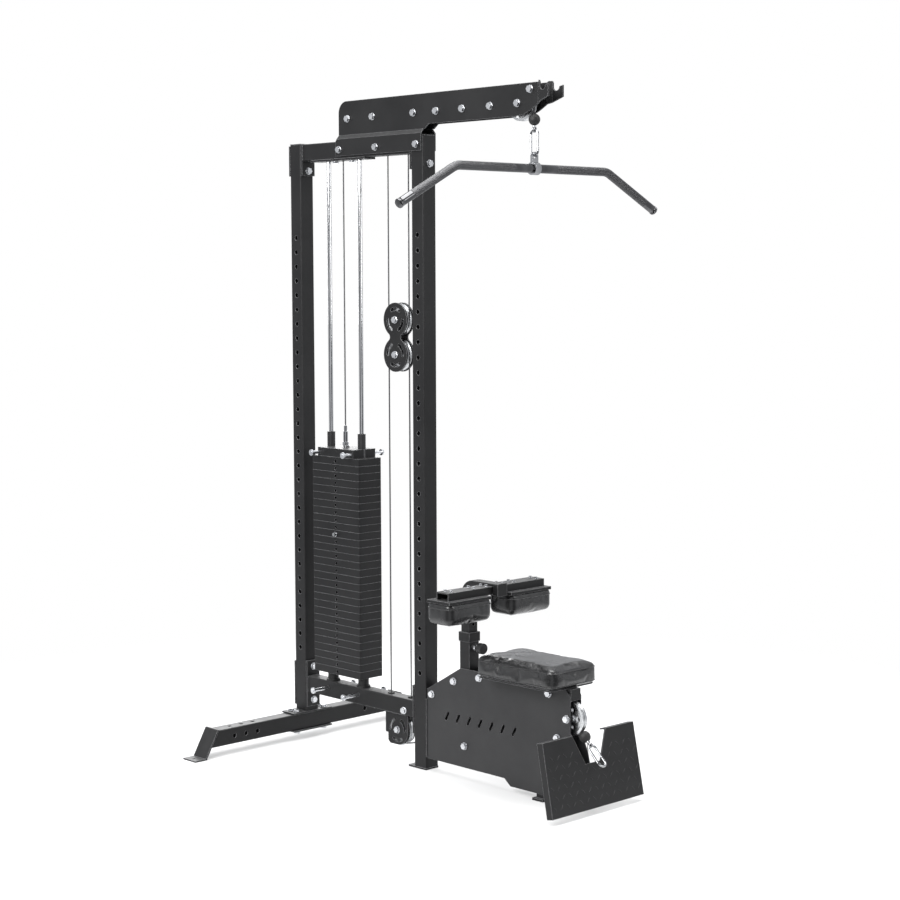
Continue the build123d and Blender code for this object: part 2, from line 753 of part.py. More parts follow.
def seat_side(y):
    """One cut side plate of the seat frame, with a row of plain vent slots."""
    with BuildSketch(side(y)) as outline:
        with BuildLine():
            Polyline(
                (seat_rear, 43), (185, 43), (398, 43), (425, 21), (716, 21), (744, 60), (716, 180), (687, 240),
                (687, 356), (666, 377), (196, 375), (seat_rear, 281), (seat_rear, 43),
            )
        make_face()
        with Locations(*seat_tie_points, *seat_front_points):
            Circle(shank_hole, mode=Mode.SUBTRACT)
        with Locations(*[(130 + 52 * i, 203) for i in range(7)]):
            SlotOverall(34, 10, rotation=62, mode=Mode.SUBTRACT)
    extrude(outline.sketch, amount=seat_plate)


with BuildPart() as seat_plates:
    seat_side(-seat_inner)
    seat_side(seat_outer)
write(seat_plates, "seat_plates")

with BuildPart() as seat_spacers:
    for x, z in seat_tie_points:
        with BuildSketch(side(seat_inner)):
            with Locations((x, z)):
                Circle(9)
                Circle(shank_hole, mode=Mode.SUBTRACT)
        extrude(amount=2 * seat_inner)
    for y0, y1 in ((-seat_inner, -pulley_half - 0.3), (pulley_half + 0.3, seat_inner)):
        with BuildSketch(side(y1)):
            with Locations((row_pulley_x, row_pulley_z)):
                Circle(10)
                Circle(shank_hole, mode=Mode.SUBTRACT)
        extrude(amount=y1 - y0)
    box_between(tube_half, seat_rear, -tube_half, tube_half, 46, 246)
    for y0, y1 in ((-seat_inner, -seat_inner + 4), (seat_inner - 4, seat_inner)):
        box_between(seat_rear, seat_rear + 42, y0, y1, 46, 246)
    with BuildSketch(front(tube_half)):
        with Locations((0, 101)):
            SlotOverall(60, 18, rotation=90)
        with Locations((0, 232)):
            Circle(shank_hole)
    extrude(amount=seat_rear - tube_half, mode=Mode.SUBTRACT)
    box_between(640, 687, -seat_inner, seat_inner, 341, 378)
    box_between(640, 666, -seat_outer, seat_outer, 377, 378)
    box_between(cushion_rear + 8, cushion_front - 8, -cushion_half + 8, cushion_half - 8, 378, cushion_low)
write(seat_spacers, "seat_spacers")

with BuildPart() as seat_bolts:
    for x, z in seat_tie_points + seat_front_points:
        cross_bolt(x, z, seat_outer)
    with BuildSketch(front(knob_x)):
        with Locations((0, 447)):
            Circle(12.5)
            Circle(6.05, mode=Mode.SUBTRACT)
    extrude(amount=4)
    with BuildSketch(front(knob_x + 4)):
        with Locations((0, 447)):
            Circle(12.5)
            Circle(10.3, mode=Mode.SUBTRACT)
    extrude(amount=12)
write(seat_bolts, "seat_bolts")

with BuildPart() as seat_cushion:
    with BuildSketch(Plane.XY.offset(cushion_low)):
        with Locations(((cushion_rear + cushion_front) / 2, 0)):
            RectangleRounded(cushion_front - cushion_rear, 2 * cushion_half, 28)
    extrude(amount=cushion_high - cushion_low)
    fillet(seat_cushion.edges().group_by(Axis.Z)[-1], 12)
write(seat_cushion, "seat_cushion")

with BuildPart() as row_pulley:
    sheave(row_pulley_x, row_pulley_z)
write(row_pulley, "row_pulley")

with BuildPart() as row_roller:
    with BuildSketch(side(seat_inner - 0.5)):
        with Locations((roller_x, roller_z)):
            Circle(roller_radius)
            Circle(bearing_bore, mode=Mode.SUBTRACT)
    extrude(amount=2 * seat_inner - 1)
write(row_roller, "row_roller")

# The foot plate leans back from its lower edge and has a bent flange along its sides and top.
plate_low_x, plate_top_x = 787.0, 742.0
plate_low_z, plate_top_z = 21.0, 250.0
plate_half_low, plate_half_top = 212.0, 210.0
notch_z = 158.0
plate_rise, plate_run = plate_top_z - plate_low_z, plate_low_x - plate_top_x
slope_length = math.hypot(plate_run, plate_rise)
face = Plane(origin=(plate_low_x, 0, plate_low_z), x_dir=(0, 1, 0), z_dir=(plate_rise, 0, plate_run))

with BuildPart() as foot_plate:
    notch = (notch_z - plate_low_z) * slope_length / plate_rise
    with BuildSketch(face):
        with BuildLine():
            Polyline(
                (-plate_half_low, 0), (plate_half_low, 0), (plate_half_top, slope_length), (76, slope_length),
                (34, notch), (-34, notch), (-76, slope_length), (-plate_half_top, slope_length),
                (-plate_half_low, 0),
            )
        make_face()
    extrude(amount=-4)
    for sign in (-1, 1):
        with BuildSketch(face):
            with BuildLine():
                Polyline(
                    (sign * plate_half_low, 0), (sign * plate_half_top, slope_length),
                    (sign * (plate_half_top - 4), slope_length), (sign * (plate_half_low - 4), 0),
                    (sign * plate_half_low, 0),
                )
            make_face()
        extrude(amount=-24)
        with BuildSketch(face):
            with BuildLine():
                Polyline(
                    (sign * plate_half_top, slope_length - 4), (sign * plate_half_top, slope_length),
                    (sign * 76, slope_length), (sign * 76, slope_length - 4), (sign * plate_half_top, slope_length - 4),
                )
            make_face()
        extrude(amount=-24)
    for sign in (-1, 1):
        with BuildSketch(side(sign * seat_outer if sign > 0 else -seat_outer)):
            with BuildLine():
                Polyline((700, 30), (782, 30), (763, 128), (716, 128), (700, 30))
            make_face()
        extrude(amount=-4 * sign)
write(foot_plate, "foot_plate")

# Knee pads.
with BuildPart() as knee_sleeve:
    box_between(post_x - sleeve_half, post_x + sleeve_half, -sleeve_half, sleeve_half, sleeve_low, sleeve_high)
    box_between(post_x - collar_half, post_x + collar_half, -collar_half, collar_half, collar_low, sleeve_high)
    box_between(post_x - post_half - 0.4, post_x + post_half + 0.4, -post_half - 0.4, post_half + 0.4,
                sleeve_low, sleeve_high, mode=Mode.SUBTRACT)
    with BuildSketch(front(post_x)):
        with Locations((0, 447)):
            Circle(8.1)
    extrude(amount=60, mode=Mode.SUBTRACT)
write(knee_sleeve, "knee_sleeve")

with BuildPart() as knee_post:
    bend = 34.0
    with BuildLine(Plane.XZ) as spine:
        Line((post_x, sleeve_low + 30), (post_x, knee_arm_z - bend))
        RadiusArc((post_x, knee_arm_z - bend), (post_x + bend, knee_arm_z), bend)
        Line((post_x + bend, knee_arm_z), (knee_arm_end, knee_arm_z))
    with BuildSketch(Plane.XY.offset(sleeve_low + 30)):
        with Locations((post_x, 0)):
            RectangleRounded(2 * post_half, 2 * post_half, 3)
    sweep(path=spine.line)
    with BuildSketch(front(post_x)):
        with Locations(*[(0, 447 - 38.1 * i) for i in range(-2, 5)]):
            Circle(6)
    extrude(amount=40, mode=Mode.SUBTRACT)
    with BuildSketch(front(knee_arm_end)):
        with Locations((0, knee_arm_z)):
            RectangleRounded(42, 42, 4)
    extrude(amount=3)
write(knee_post, "knee_post")

rail_low, rail_high = pad_high + 10, pad_high + 36
with BuildPart() as knee_rails:
    for sign in (-1, 1):
        box_between(286, 342, sign * (post_half + 0.0), sign * 220, rail_low, rail_high)
        box_between(290, 338, sign * (post_half + 0.0), sign * 220, rail_low, rail_high - 4, mode=Mode.SUBTRACT)
        box_between(pad_rear + 3, pad_front - 3, sign * (pad_inner + 3), sign * (pad_outer - 3), pad_high, rail_low)
write(knee_rails, "knee_rails")

for name, sign in (("knee_pad_right", -1), ("knee_pad_left", 1)):
    with BuildPart() as knee_pad:
        with BuildSketch(Plane.XY.offset(pad_low)):
            with Locations(((pad_rear + pad_front) / 2, sign * (pad_inner + pad_outer) / 2)):
                RectangleRounded(pad_front - pad_rear, pad_outer - pad_inner, 22)
        extrude(amount=pad_high - pad_low)
        fillet(knee_pad.edges().group_by(Axis.Z)[0], 14)
    write(knee_pad, name)

with BuildPart() as knee_bolts:
    for y in (-196, -92, -36, 36, 92, 196):
        for x in (301, 327):
            with BuildSketch(Plane.XY.offset(rail_high)):
                with Locations((x, y)):
                    Circle(7)
            extrude(amount=1.5)
            with BuildSketch(Plane.XY.offset(rail_high + 1.5)):
                with Locations((x, y)):
                    RegularPolygon(5, 6)
            extrude(amount=5)
write(knee_bolts, "knee_bolts")

with BuildPart() as pull_pin:
    with BuildSketch(front(post_x + post_half + 0.5)):
        with Locations((0, 447)):
            Circle(5.7)
    extrude(amount=knob_x + 17 - post_x - post_half - 0.5)
    with BuildSketch(front(knob_x + 17)):
        with Locations((0, 447)):
            Circle(10)
    extrude(amount=10)
    with BuildSketch(front(knob_x + 27)):
        with Locations((0, 447)):
            Circle(18)
    extrude(amount=20)
    fillet(pull_pin.edges().group_by(Axis.X)[-1], 3)
write(pull_pin, "pull_pin")

# Cables.
with BuildPart() as stack_cable_run:
    with BuildSketch(Plane.XY.offset(fitting_top)):
        with Locations((stack_x, 0)):
            Circle(cable_radius)
    extrude(amount=top_pulley_z - fitting_top)
write(stack_cable_run, "stack_cable_run")


def over_two(x0, x1):
    """Cable that rises on the rear of one pulley, runs level and falls on the front of the next."""
    left, right = x0 - pitch_radius, x1 + pitch_radius
    with BuildLine(Plane.XZ) as route:
        RadiusArc((left, top_pulley_z), (x0, cable_top_z), pitch_radius)
        Line((x0, cable_top_z), (x1, cable_top_z))
        RadiusArc((x1, cable_top_z), (right, top_pulley_z), pitch_radius)
    with BuildSketch(Plane(origin=(left, 0, top_pulley_z), z_dir=(0, 0, 1))) as face:
        Circle(cable_radius)
    sweep(face.sketch, path=route.line)


with BuildPart() as upper_cable_runs:
    over_two(top_pulley_x[0], top_pulley_x[1])
    over_two(top_pulley_x[2], top_pulley_x[3])
write(upper_cable_runs, "upper_cable_runs")

with BuildPart() as block_cables:
    for z, turn in ((block_upper_z, -1), (block_lower_z, 1)):
        with BuildLine(Plane.XZ) as route:
            RadiusArc((down_x, z), (up_x, z), turn * pitch_radius)
        with BuildSketch(Plane(origin=(down_x, 0, z), z_dir=(0, 0, turn))) as section:
            Circle(cable_radius)
        sweep(section.sketch, path=route.line)
write(block_cables, "block_cables")


def vertical_cable(x, z0, z1):
    """A straight length of cable."""
    with BuildSketch(Plane.XY.offset(z0)) as face:
        with Locations((x, 0)):
            Circle(cable_radius)
    extrude(face.sketch, amount=z1 - z0)


with BuildPart() as block_upper_runs:
    vertical_cable(down_x, block_upper_z, top_pulley_z)
    vertical_cable(up_x, block_upper_z, top_pulley_z)
write(block_upper_runs, "block_upper_runs")

with BuildPart() as block_lower_runs:
    vertical_cable(up_x, low_beam_low - 16, block_lower_z)
    vertical_cable(down_x, return_z, block_lower_z)
write(block_lower_runs, "block_lower_runs")

with BuildPart() as lat_drop:
    vertical_cable(lat_x, lat_ball_z + ball_radius, top_pulley_z)
write(lat_drop, "lat_drop")

# The low cable rounds the return pulley, climbs through the front upright and leaves over a roller.
span_x, span_z = roller_x - return_x, roller_z - return_z
span = math.hypot(span_x, span_z)
climb = math.atan2(span_z, span_x) + math.asin((pitch_radius + roller_radius + cable_radius) / span)
leave = (return_x + pitch_radius * math.sin(climb), return_z - pitch_radius * math.cos(climb))
reach = roller_radius + cable_radius
meet = (roller_x - reach * math.sin(climb), roller_z + reach * math.cos(climb))

with BuildPart() as row_cable_run:
    with BuildLine(Plane.XZ) as route:
        RadiusArc((down_x, return_z), (return_x, return_z - pitch_radius), -pitch_radius)
        RadiusArc((return_x, return_z - pitch_radius), leave, -pitch_radius)
        Line(leave, meet)
        RadiusArc(meet, (roller_x, roller_z + reach), reach)
        Line((roller_x, roller_z + reach), (row_pulley_x, row_exit_z))
    with BuildSketch(Plane(origin=(down_x, 0, return_z), z_dir=(0, 0, -1))):
        Circle(cable_radius)
    sweep(path=route.line)
write(row_cable_run, "row_cable_run")

# Cable ends.
row_ball_x = row_pulley_x + math.sqrt((pulley_radius + ball_radius + 0.3) ** 2 - pitch_radius ** 2)
hook_length, hook_width, hook_thick = 80.0, 30.0, 4.0
eye_gap = 12.0


def cable_end(centre, direction, start, eye_turn):
    """The stem and the eye under a rubber ball; the eye's ring is turned to take the hook."""
    with BuildSketch(Plane(origin=centre + direction * start, z_dir=direction)) as face:
        Circle(5.5)
    extrude(face.sketch, amount=ball_radius + eye_gap - 7 - start)
    with Locations(centre + direction * (ball_radius + eye_gap)):
        Torus(8, 2.6, rotation=eye_turn)


def snap_hook(plane, length, width, thick):
    """A carabiner's C body: a long loop of round bar with a gap in one side for the gate."""
    half, radius = length / 2, width / 2
    gap_low, gap_high = -half + 0.34 * length, half - 0.22 * length
    with BuildLine(plane) as loop:
        Line((radius, gap_high), (radius, half - radius))
        RadiusArc((radius, half - radius), (-radius, half - radius), -radius)
        Line((-radius, half - radius), (-radius, -half + radius))
        RadiusArc((-radius, -half + radius), (radius, -half + radius), -radius)
        Line((radius, -half + radius), (radius, gap_low))
    start = plane.from_local_coords(Vector(radius, gap_high, 0))
    with BuildSketch(Plane(origin=start, z_dir=plane.y_dir)) as face:
        Circle(thick)
    sweep(face.sketch, path=loop.line)


def snap_gate(plane, length, width, thick):
    """The carabiner's straight sprung gate."""
    half, radius = length / 2, width / 2
    gap_low, gap_high = -half + 0.34 * length, half - 0.22 * length
    start = plane.from_local_coords(Vector(radius, gap_low + 2.2, 0))
    with BuildSketch(Plane(origin=start, z_dir=plane.y_dir)) as face:
        Circle(thick * 0.86)
    extrude(face.sketch, amount=gap_high - gap_low - 2.8)


lat_hook_z = lat_ball_z - ball_radius - eye_gap - 1 - hook_length / 2
lat_hook = Plane(origin=(lat_x, 0, lat_hook_z), x_dir=(1, 0, 0), z_dir=(0, -1, 0))

with BuildPart() as lat_ball:
    with Locations((lat_x, 0, lat_ball_z)):
        Sphere(ball_radius)
write(lat_ball, "lat_ball")

with BuildPart() as lat_eye:
    cable_end(Vector(lat_x, 0, lat_ball_z), Vector(0, 0, -1), ball_radius + 0.1, (0, 90, 0))
write(lat_eye, "lat_eye")

with BuildPart() as lat_carabiner:
    snap_hook(lat_hook, hook_length, hook_width, hook_thick)
write(lat_carabiner, "lat_carabiner")

with BuildPart() as lat_gate:
    snap_gate(lat_hook, hook_length, hook_width, hook_thick)
write(lat_gate, "lat_gate")

hanger_hole_z = lat_hook_z - hook_length / 2 - 2.5
with BuildPart() as lat_hanger:
    with BuildSketch(front(lat_x - 4)):
        with Locations((0, hanger_hole_z)):
            Circle(14)
        with Locations((0, (hanger_hole_z + bar_z) / 2)):
            Rectangle(28, hanger_hole_z - bar_z)
        with Locations((0, hanger_hole_z)):
            Circle(7.5, mode=Mode.SUBTRACT)
    extrude(amount=8)
    with BuildSketch(Plane(origin=(lat_x, -13, bar_z), x_dir=(1, 0, 0), z_dir=(0, 1, 0))):
        Circle(bar_radius + 6)
    extrude(amount=26)
    with BuildSketch(Plane(origin=(lat_x, -16, bar_z), x_dir=(1, 0, 0), z_dir=(0, 1, 0))):
        Circle(bar_radius + 0.08)
    extrude(amount=32, mode=Mode.SUBTRACT)
write(lat_hanger, "lat_hanger")

with BuildPart() as lat_bar:
    bend = 70.0
    drop = math.atan2(bar_z - bar_tip_z, bar_tip_y - bar_bend_y)
    with BuildLine(Plane(origin=(lat_x, 0, 0), x_dir=(0, 1, 0), z_dir=(1, 0, 0))) as bar_line:
        FilletPolyline(
            (-bar_tip_y, bar_tip_z), (-bar_bend_y, bar_z), (bar_bend_y, bar_z), (bar_tip_y, bar_tip_z), radius=bend,
        )
    with BuildSketch(Plane(origin=(lat_x, -bar_tip_y, bar_tip_z), z_dir=(0, math.cos(drop), math.sin(drop)))):
        Circle(bar_radius)
    sweep(path=bar_line.line)
    for sign in (-1, 1):
        end = Plane(origin=(lat_x, sign * bar_tip_y, bar_tip_z), z_dir=(0, sign * math.cos(drop), -math.sin(drop)))
        with BuildSketch(end):
            Circle(bar_radius + 1)
        extrude(amount=6)
write(lat_bar, "lat_bar")

row_hook_dir = Vector(1, 0, -1).normalized()
row_ball_at = Vector(row_ball_x, 0, row_exit_z)
row_hook_at = row_ball_at + row_hook_dir * (ball_radius + eye_gap + 1 + hook_length / 2)
row_hook = Plane(origin=row_hook_at, x_dir=(0, 1, 0), z_dir=row_hook_dir.cross(Vector(0, 1, 0)))

with BuildPart() as row_ball:
    with Locations(row_ball_at):
        Sphere(ball_radius)
    with BuildSketch(front(row_pulley_x)):
        with Locations((0, row_exit_z)):
            Circle(cable_radius)
    extrude(amount=row_ball_x - row_pulley_x)
    cable_end(row_ball_at, row_hook_dir, ball_radius - 2, (90, 0, 0))
write(row_ball, "row_ball")

with BuildPart() as row_carabiner:
    snap_hook(row_hook, hook_length, hook_width, hook_thick)
write(row_carabiner, "row_carabiner")

with BuildPart() as row_gate:
    snap_gate(row_hook, hook_length, hook_width, hook_thick)
write(row_gate, "row_gate")
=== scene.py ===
import json
import math

import bpy
from mathutils import Matrix, Vector, noise


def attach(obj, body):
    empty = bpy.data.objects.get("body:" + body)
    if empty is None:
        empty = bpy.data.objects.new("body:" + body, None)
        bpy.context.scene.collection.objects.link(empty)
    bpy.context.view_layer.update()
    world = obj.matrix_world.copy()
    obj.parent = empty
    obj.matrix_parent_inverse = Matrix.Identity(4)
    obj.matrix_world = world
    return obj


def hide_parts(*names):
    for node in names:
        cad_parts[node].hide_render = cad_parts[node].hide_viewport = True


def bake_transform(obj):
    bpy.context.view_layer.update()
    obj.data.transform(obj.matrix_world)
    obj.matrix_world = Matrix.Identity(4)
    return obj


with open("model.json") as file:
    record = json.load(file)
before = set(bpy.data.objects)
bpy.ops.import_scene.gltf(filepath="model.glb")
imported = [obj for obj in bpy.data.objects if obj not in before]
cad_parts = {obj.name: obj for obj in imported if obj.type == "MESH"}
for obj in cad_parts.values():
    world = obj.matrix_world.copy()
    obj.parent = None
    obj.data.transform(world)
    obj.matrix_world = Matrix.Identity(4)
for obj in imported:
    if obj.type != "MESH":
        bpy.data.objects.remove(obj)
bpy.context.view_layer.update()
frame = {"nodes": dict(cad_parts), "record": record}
node = frame["nodes"]
scene = bpy.context.scene


# The camera, the softboxes and the floor come first.

viewpoint = {"place": (4.715, -4.404, 1.682), "turn": 136.73, "dip": 4.886, "roll": -0.267,
             "lens": 77.19, "shiftX": 0.0197, "shiftY": -0.015}


def aimCamera(facts):
    turn, dip, roll = (math.radians(facts[k]) for k in ("turn", "dip", "roll"))
    ahead = Vector((math.cos(dip) * math.cos(turn), math.cos(dip) * math.sin(turn), -math.sin(dip)))
    right = Vector((math.sin(turn), -math.cos(turn), 0))
    up = right.cross(ahead)
    across = right * math.cos(roll) + up * math.sin(roll)
    upright = up * math.cos(roll) - right * math.sin(roll)
    lens = bpy.data.cameras.new("studioCamera")
    lens.lens, lens.sensor_width = facts["lens"], 36
    lens.shift_x, lens.shift_y = facts["shiftX"], facts["shiftY"]
    lens.clip_end = 60
    camera = bpy.data.objects.new("studioCamera", lens)
    turned = Matrix((across, upright, -ahead)).transposed()
    camera.matrix_world = Matrix.Translation(facts["place"]) @ turned.to_4x4()
    scene.collection.objects.link(camera)
    scene.camera = camera


softboxes = {
    "keyBox": {"place": (0.6, -4.6, 3.6), "aim": (0, 0, 1.0), "size": (3.2, 3.2), "watts": 300},
    "sideBox": {"place": (4.6, 1.6, 2.6), "aim": (0, 0, 1.1), "size": (1.2, 2.6), "watts": 55},
    "topBox": {"place": (0.2, 0.2, 5.2), "aim": (0, 0, 0), "size": (4.0, 4.0), "watts": 300},
    "backBox": {"place": (-4.5, 2.5, 2.6), "aim": (0, 0, 1.1), "size": (2.4, 2.6), "watts": 110},
}


def hangSoftbox(name, facts):
    lamp = bpy.data.lights.new(name, "AREA")
    lamp.shape = "RECTANGLE"
    lamp.size, lamp.size_y = facts["size"]
    lamp.energy = facts["watts"]
    box = bpy.data.objects.new(name, lamp)
    box.location = facts["place"]
    box.rotation_euler = (Vector(facts["aim"]) - Vector(facts["place"])).to_track_quat("-Z", "Y").to_euler()
    scene.collection.objects.link(box)


def paintWorld():
    world = bpy.data.worlds.new("studio")
    scene.world = world
    world.use_nodes = True
    tree = world.node_tree
    tree.nodes.clear()
    out = tree.nodes.new("ShaderNodeOutputWorld")
    # the object is lit by a grey room with a dark ring around the camera, which sees plain white itself
    towardsCamera, paleRoom, darkRing = (0.722, -0.69, 0.05), (0.66, 0.67, 0.69, 1), (0.05, 0.05, 0.055, 1)
    seen, unseen = tree.nodes.new("ShaderNodeBackground"), tree.nodes.new("ShaderNodeBackground")
    seen.inputs["Color"].default_value = (1, 1, 1, 1)
    where = tree.nodes.new("ShaderNodeTexCoord")
    facing = tree.nodes.new("ShaderNodeVectorMath")
    facing.operation = "DOT_PRODUCT"
    facing.inputs[1].default_value = towardsCamera
    tree.links.new(where.outputs["Generated"], facing.inputs[0])
    ring = tree.nodes.new("ShaderNodeMath")
    ring.operation = "MULTIPLY"
    for slot, start, end in ((0, 0.22, 0.42), (1, 0.95, 0.86)):
        side = tree.nodes.new("ShaderNodeMapRange")
        side.interpolation_type = "SMOOTHSTEP"
        side.inputs["From Min"].default_value, side.inputs["From Max"].default_value = start, end
        tree.links.new(facing.outputs["Value"], side.inputs["Value"])
        tree.links.new(side.outputs[0], ring.inputs[slot])
    tint = tree.nodes.new("ShaderNodeMix")
    tint.data_type = "RGBA"
    tint.inputs[6].default_value, tint.inputs[7].default_value = paleRoom, darkRing
    tree.links.new(ring.outputs[0], tint.inputs[0])
    tree.links.new(tint.outputs[2], unseen.inputs["Color"])
    ray = tree.nodes.new("ShaderNodeLightPath")
    mix = tree.nodes.new("ShaderNodeMixShader")
    tree.links.new(ray.outputs["Is Camera Ray"], mix.inputs[0])
    tree.links.new(unseen.outputs[0], mix.inputs[1])
    tree.links.new(seen.outputs[0], mix.inputs[2])
    tree.links.new(mix.outputs[0], out.inputs[0])


def layFloor():
    # a pale floor that fades to nothing away from the object
    edge, fadeStart, fadeEnd, strength = 14, 1.3, 2.6, 0.62
    mesh = bpy.data.meshes.new("floor")
    corners = [(-edge, -edge, 0), (edge, -edge, 0), (edge, edge, 0), (-edge, edge, 0)]
    mesh.from_pydata(corners, [], [(0, 1, 2, 3)])
    floor = bpy.data.objects.new("floor", mesh)
    scene.collection.objects.link(floor)
    paint = bpy.data.materials.new("paleFloor")
    paint.use_nodes = True
    shader = paint.node_tree.nodes["Principled BSDF"]
    shader.inputs["Base Color"].default_value = (0.94, 0.94, 0.94, 1)
    shader.inputs["Roughness"].default_value = 0.85
    shader.inputs["Specular IOR Level"].default_value = 0.1
    where = paint.node_tree.nodes.new("ShaderNodeNewGeometry")
    reach = paint.node_tree.nodes.new("ShaderNodeVectorMath")
    reach.operation = "LENGTH"
    fade = paint.node_tree.nodes.new("ShaderNodeMapRange")
    fade.interpolation_type = "SMOOTHSTEP"
    ends = (("From Min", fadeStart), ("From Max", fadeEnd), ("To Min", strength), ("To Max", 0.0))
    for socket, value in ends:
        fade.inputs[socket].default_value = value
    paint.node_tree.links.new(where.outputs["Position"], reach.inputs[0])
    paint.node_tree.links.new(reach.outputs["Value"], fade.inputs["Value"])
    paint.node_tree.links.new(fade.outputs[0], shader.inputs["Alpha"])
    mesh.materials.append(paint)


aimCamera(viewpoint)
for boxName, boxFacts in softboxes.items():
    hangSoftbox(boxName, boxFacts)
paintWorld()
layFloor()
scene.view_settings.view_transform = "Standard"
print("camera, lights and floor are set")


# Groups of shader nodes that several finishes share.

def newGroup(name, inputs, outputs):
    group = bpy.data.node_groups.new(name, "ShaderNodeTree")
    for socket, kind, value in inputs:
        made = group.interface.new_socket(socket, in_out="INPUT", socket_type=kind)
        made.default_value = value
    for socket, kind in outputs:
        group.interface.new_socket(socket, in_out="OUTPUT", socket_type=kind)
    return group, group.nodes.new("NodeGroupInput"), group.nodes.new("NodeGroupOutput")


def addNode(tree, kind, settings=None, **values):
    made = tree.nodes.new(kind)
    for key, value in (settings or {}).items():
        setattr(made, key, value)
    for key, value in values.items():
        made.inputs[key.replace("_", " ")].default_value = value
    return made


def mathNode(tree, operation, first, second=None):
    made = tree.nodes.new("ShaderNodeMath")
    made.operation = operation
    for slot, value in ((0, first), (1, second)):
        if value is None:
            continue
        if isinstance(value, (int, float)):
            made.inputs[slot].default_value = value
        else:
            tree.links.new(value, made.inputs[slot])
    return made.outputs[0]


def makeEdgeWearAndHighlight():
    # a rounded normal at every hard edge, and a mask that is bright along edges: partly where the coat has
    # thinned, partly a painted edge highlight
    inputs = [("Radius", "NodeSocketFloat", 0.0012), ("Gain", "NodeSocketFloat", 4.0)]
    outputs = [("Normal", "NodeSocketVector"), ("Mask", "NodeSocketFloat")]
    group, given, out = newGroup("edgeWearAndHighlight", inputs, outputs)
    bevel = addNode(group, "ShaderNodeBevel", {"samples": 4})
    face = addNode(group, "ShaderNodeNewGeometry")
    dot = addNode(group, "ShaderNodeVectorMath", {"operation": "DOT_PRODUCT"})
    speck = addNode(group, "ShaderNodeTexNoise", Scale=160, Detail=3)
    where = addNode(group, "ShaderNodeTexCoord")
    group.links.new(where.outputs["Object"], speck.inputs["Vector"])
    group.links.new(given.outputs["Radius"], bevel.inputs["Radius"])
    group.links.new(bevel.outputs[0], dot.inputs[0])
    group.links.new(face.outputs["Normal"], dot.inputs[1])
    turned = mathNode(group, "SUBTRACT", 1.0, dot.outputs["Value"])
    strong = mathNode(group, "MULTIPLY", turned, given.outputs["Gain"])
    broken = mathNode(group, "MULTIPLY", strong, speck.outputs["Fac"])
    clamp = addNode(group, "ShaderNodeClamp")
    group.links.new(broken, clamp.inputs["Value"])
    group.links.new(bevel.outputs[0], out.inputs["Normal"])
    group.links.new(clamp.outputs[0], out.inputs["Mask"])
    return group


def makePowderGrain():
    # the fine orange peel of a baked powder coat, and slow changes of tone
    inputs = [("Scale", "NodeSocketFloat", 700.0)]
    outputs = [("Height", "NodeSocketFloat"), ("Tone", "NodeSocketFloat")]
    group, given, out = newGroup("powderGrain", inputs, outputs)
    where = addNode(group, "ShaderNodeTexCoord")
    peel = addNode(group, "ShaderNodeTexNoise", Detail=2, Roughness=0.6)
    cells = addNode(group, "ShaderNodeTexVoronoi", {"feature": "SMOOTH_F1"})
    slow = addNode(group, "ShaderNodeTexNoise", Scale=5.5, Detail=5, Roughness=0.62)
    for texture in (peel, cells, slow):
        group.links.new(where.outputs["Object"], texture.inputs["Vector"])
    group.links.new(given.outputs["Scale"], peel.inputs["Scale"])
    group.links.new(given.outputs["Scale"], cells.inputs["Scale"])
    height = mathNode(group, "ADD", mathNode(group, "MULTIPLY", peel.outputs["Fac"], 0.6),
                      mathNode(group, "MULTIPLY", cells.outputs["Distance"], 0.4))
    group.links.new(height, out.inputs["Height"])
    group.links.new(slow.outputs["Fac"], out.inputs["Tone"])
    return group


def makeSettledDust():
    # a thin pale film where the surface faces up, broken by noise
    inputs, outputs = [("Amount", "NodeSocketFloat", 0.2)], [("Mask", "NodeSocketFloat")]
    group, given, out = newGroup("settledDust", inputs, outputs)
    face = addNode(group, "ShaderNodeNewGeometry")
    split = addNode(group, "ShaderNodeSeparateXYZ")
    where = addNode(group, "ShaderNodeTexCoord")
    patchy = addNode(group, "ShaderNodeTexNoise", Scale=38, Detail=6, Roughness=0.7)
    group.links.new(where.outputs["Object"], patchy.inputs["Vector"])
    group.links.new(face.outputs["Normal"], split.inputs[0])
    up = addNode(group, "ShaderNodeMapRange")
    group.links.new(split.outputs["Z"], up.inputs["Value"])
    up.inputs["From Min"].default_value = 0.35
    mask = mathNode(group, "MULTIPLY", mathNode(group, "MULTIPLY", up.outputs[0], patchy.outputs["Fac"]),
                    given.outputs["Amount"])
    group.links.new(mask, out.inputs["Mask"])
    return group


def makeToolMarks():
    # fine scratches left by turning, drawing and handling
    inputs = [("Scale", "NodeSocketFloat", 90.0), ("Stretch", "NodeSocketVector", (1, 1, 1))]
    outputs = [("Height", "NodeSocketFloat"), ("Tone", "NodeSocketFloat")]
    group, given, out = newGroup("toolMarks", inputs, outputs)
    where = addNode(group, "ShaderNodeTexCoord")
    stretch = addNode(group, "ShaderNodeVectorMath", {"operation": "MULTIPLY"})
    group.links.new(where.outputs["Object"], stretch.inputs[0])
    group.links.new(given.outputs["Stretch"], stretch.inputs[1])
    fine = addNode(group, "ShaderNodeTexNoise", Detail=6, Roughness=0.75)
    group.links.new(stretch.outputs[0], fine.inputs["Vector"])
    group.links.new(given.outputs["Scale"], fine.inputs["Scale"])
    slow = addNode(group, "ShaderNodeTexNoise", Scale=22, Detail=4)
    group.links.new(where.outputs["Object"], slow.inputs["Vector"])
    group.links.new(fine.outputs["Fac"], out.inputs["Height"])
    group.links.new(slow.outputs["Fac"], out.inputs["Tone"])
    return group


edgeWearAndHighlight, powderGrain = makeEdgeWearAndHighlight(), makePowderGrain()
settledDust, toolMarks = makeSettledDust(), makeToolMarks()


def placeGroup(tree, group, **values):
    made = tree.nodes.new("ShaderNodeGroup")
    made.node_tree = group
    for key, value in values.items():
        made.inputs[key].default_value = value
    return made


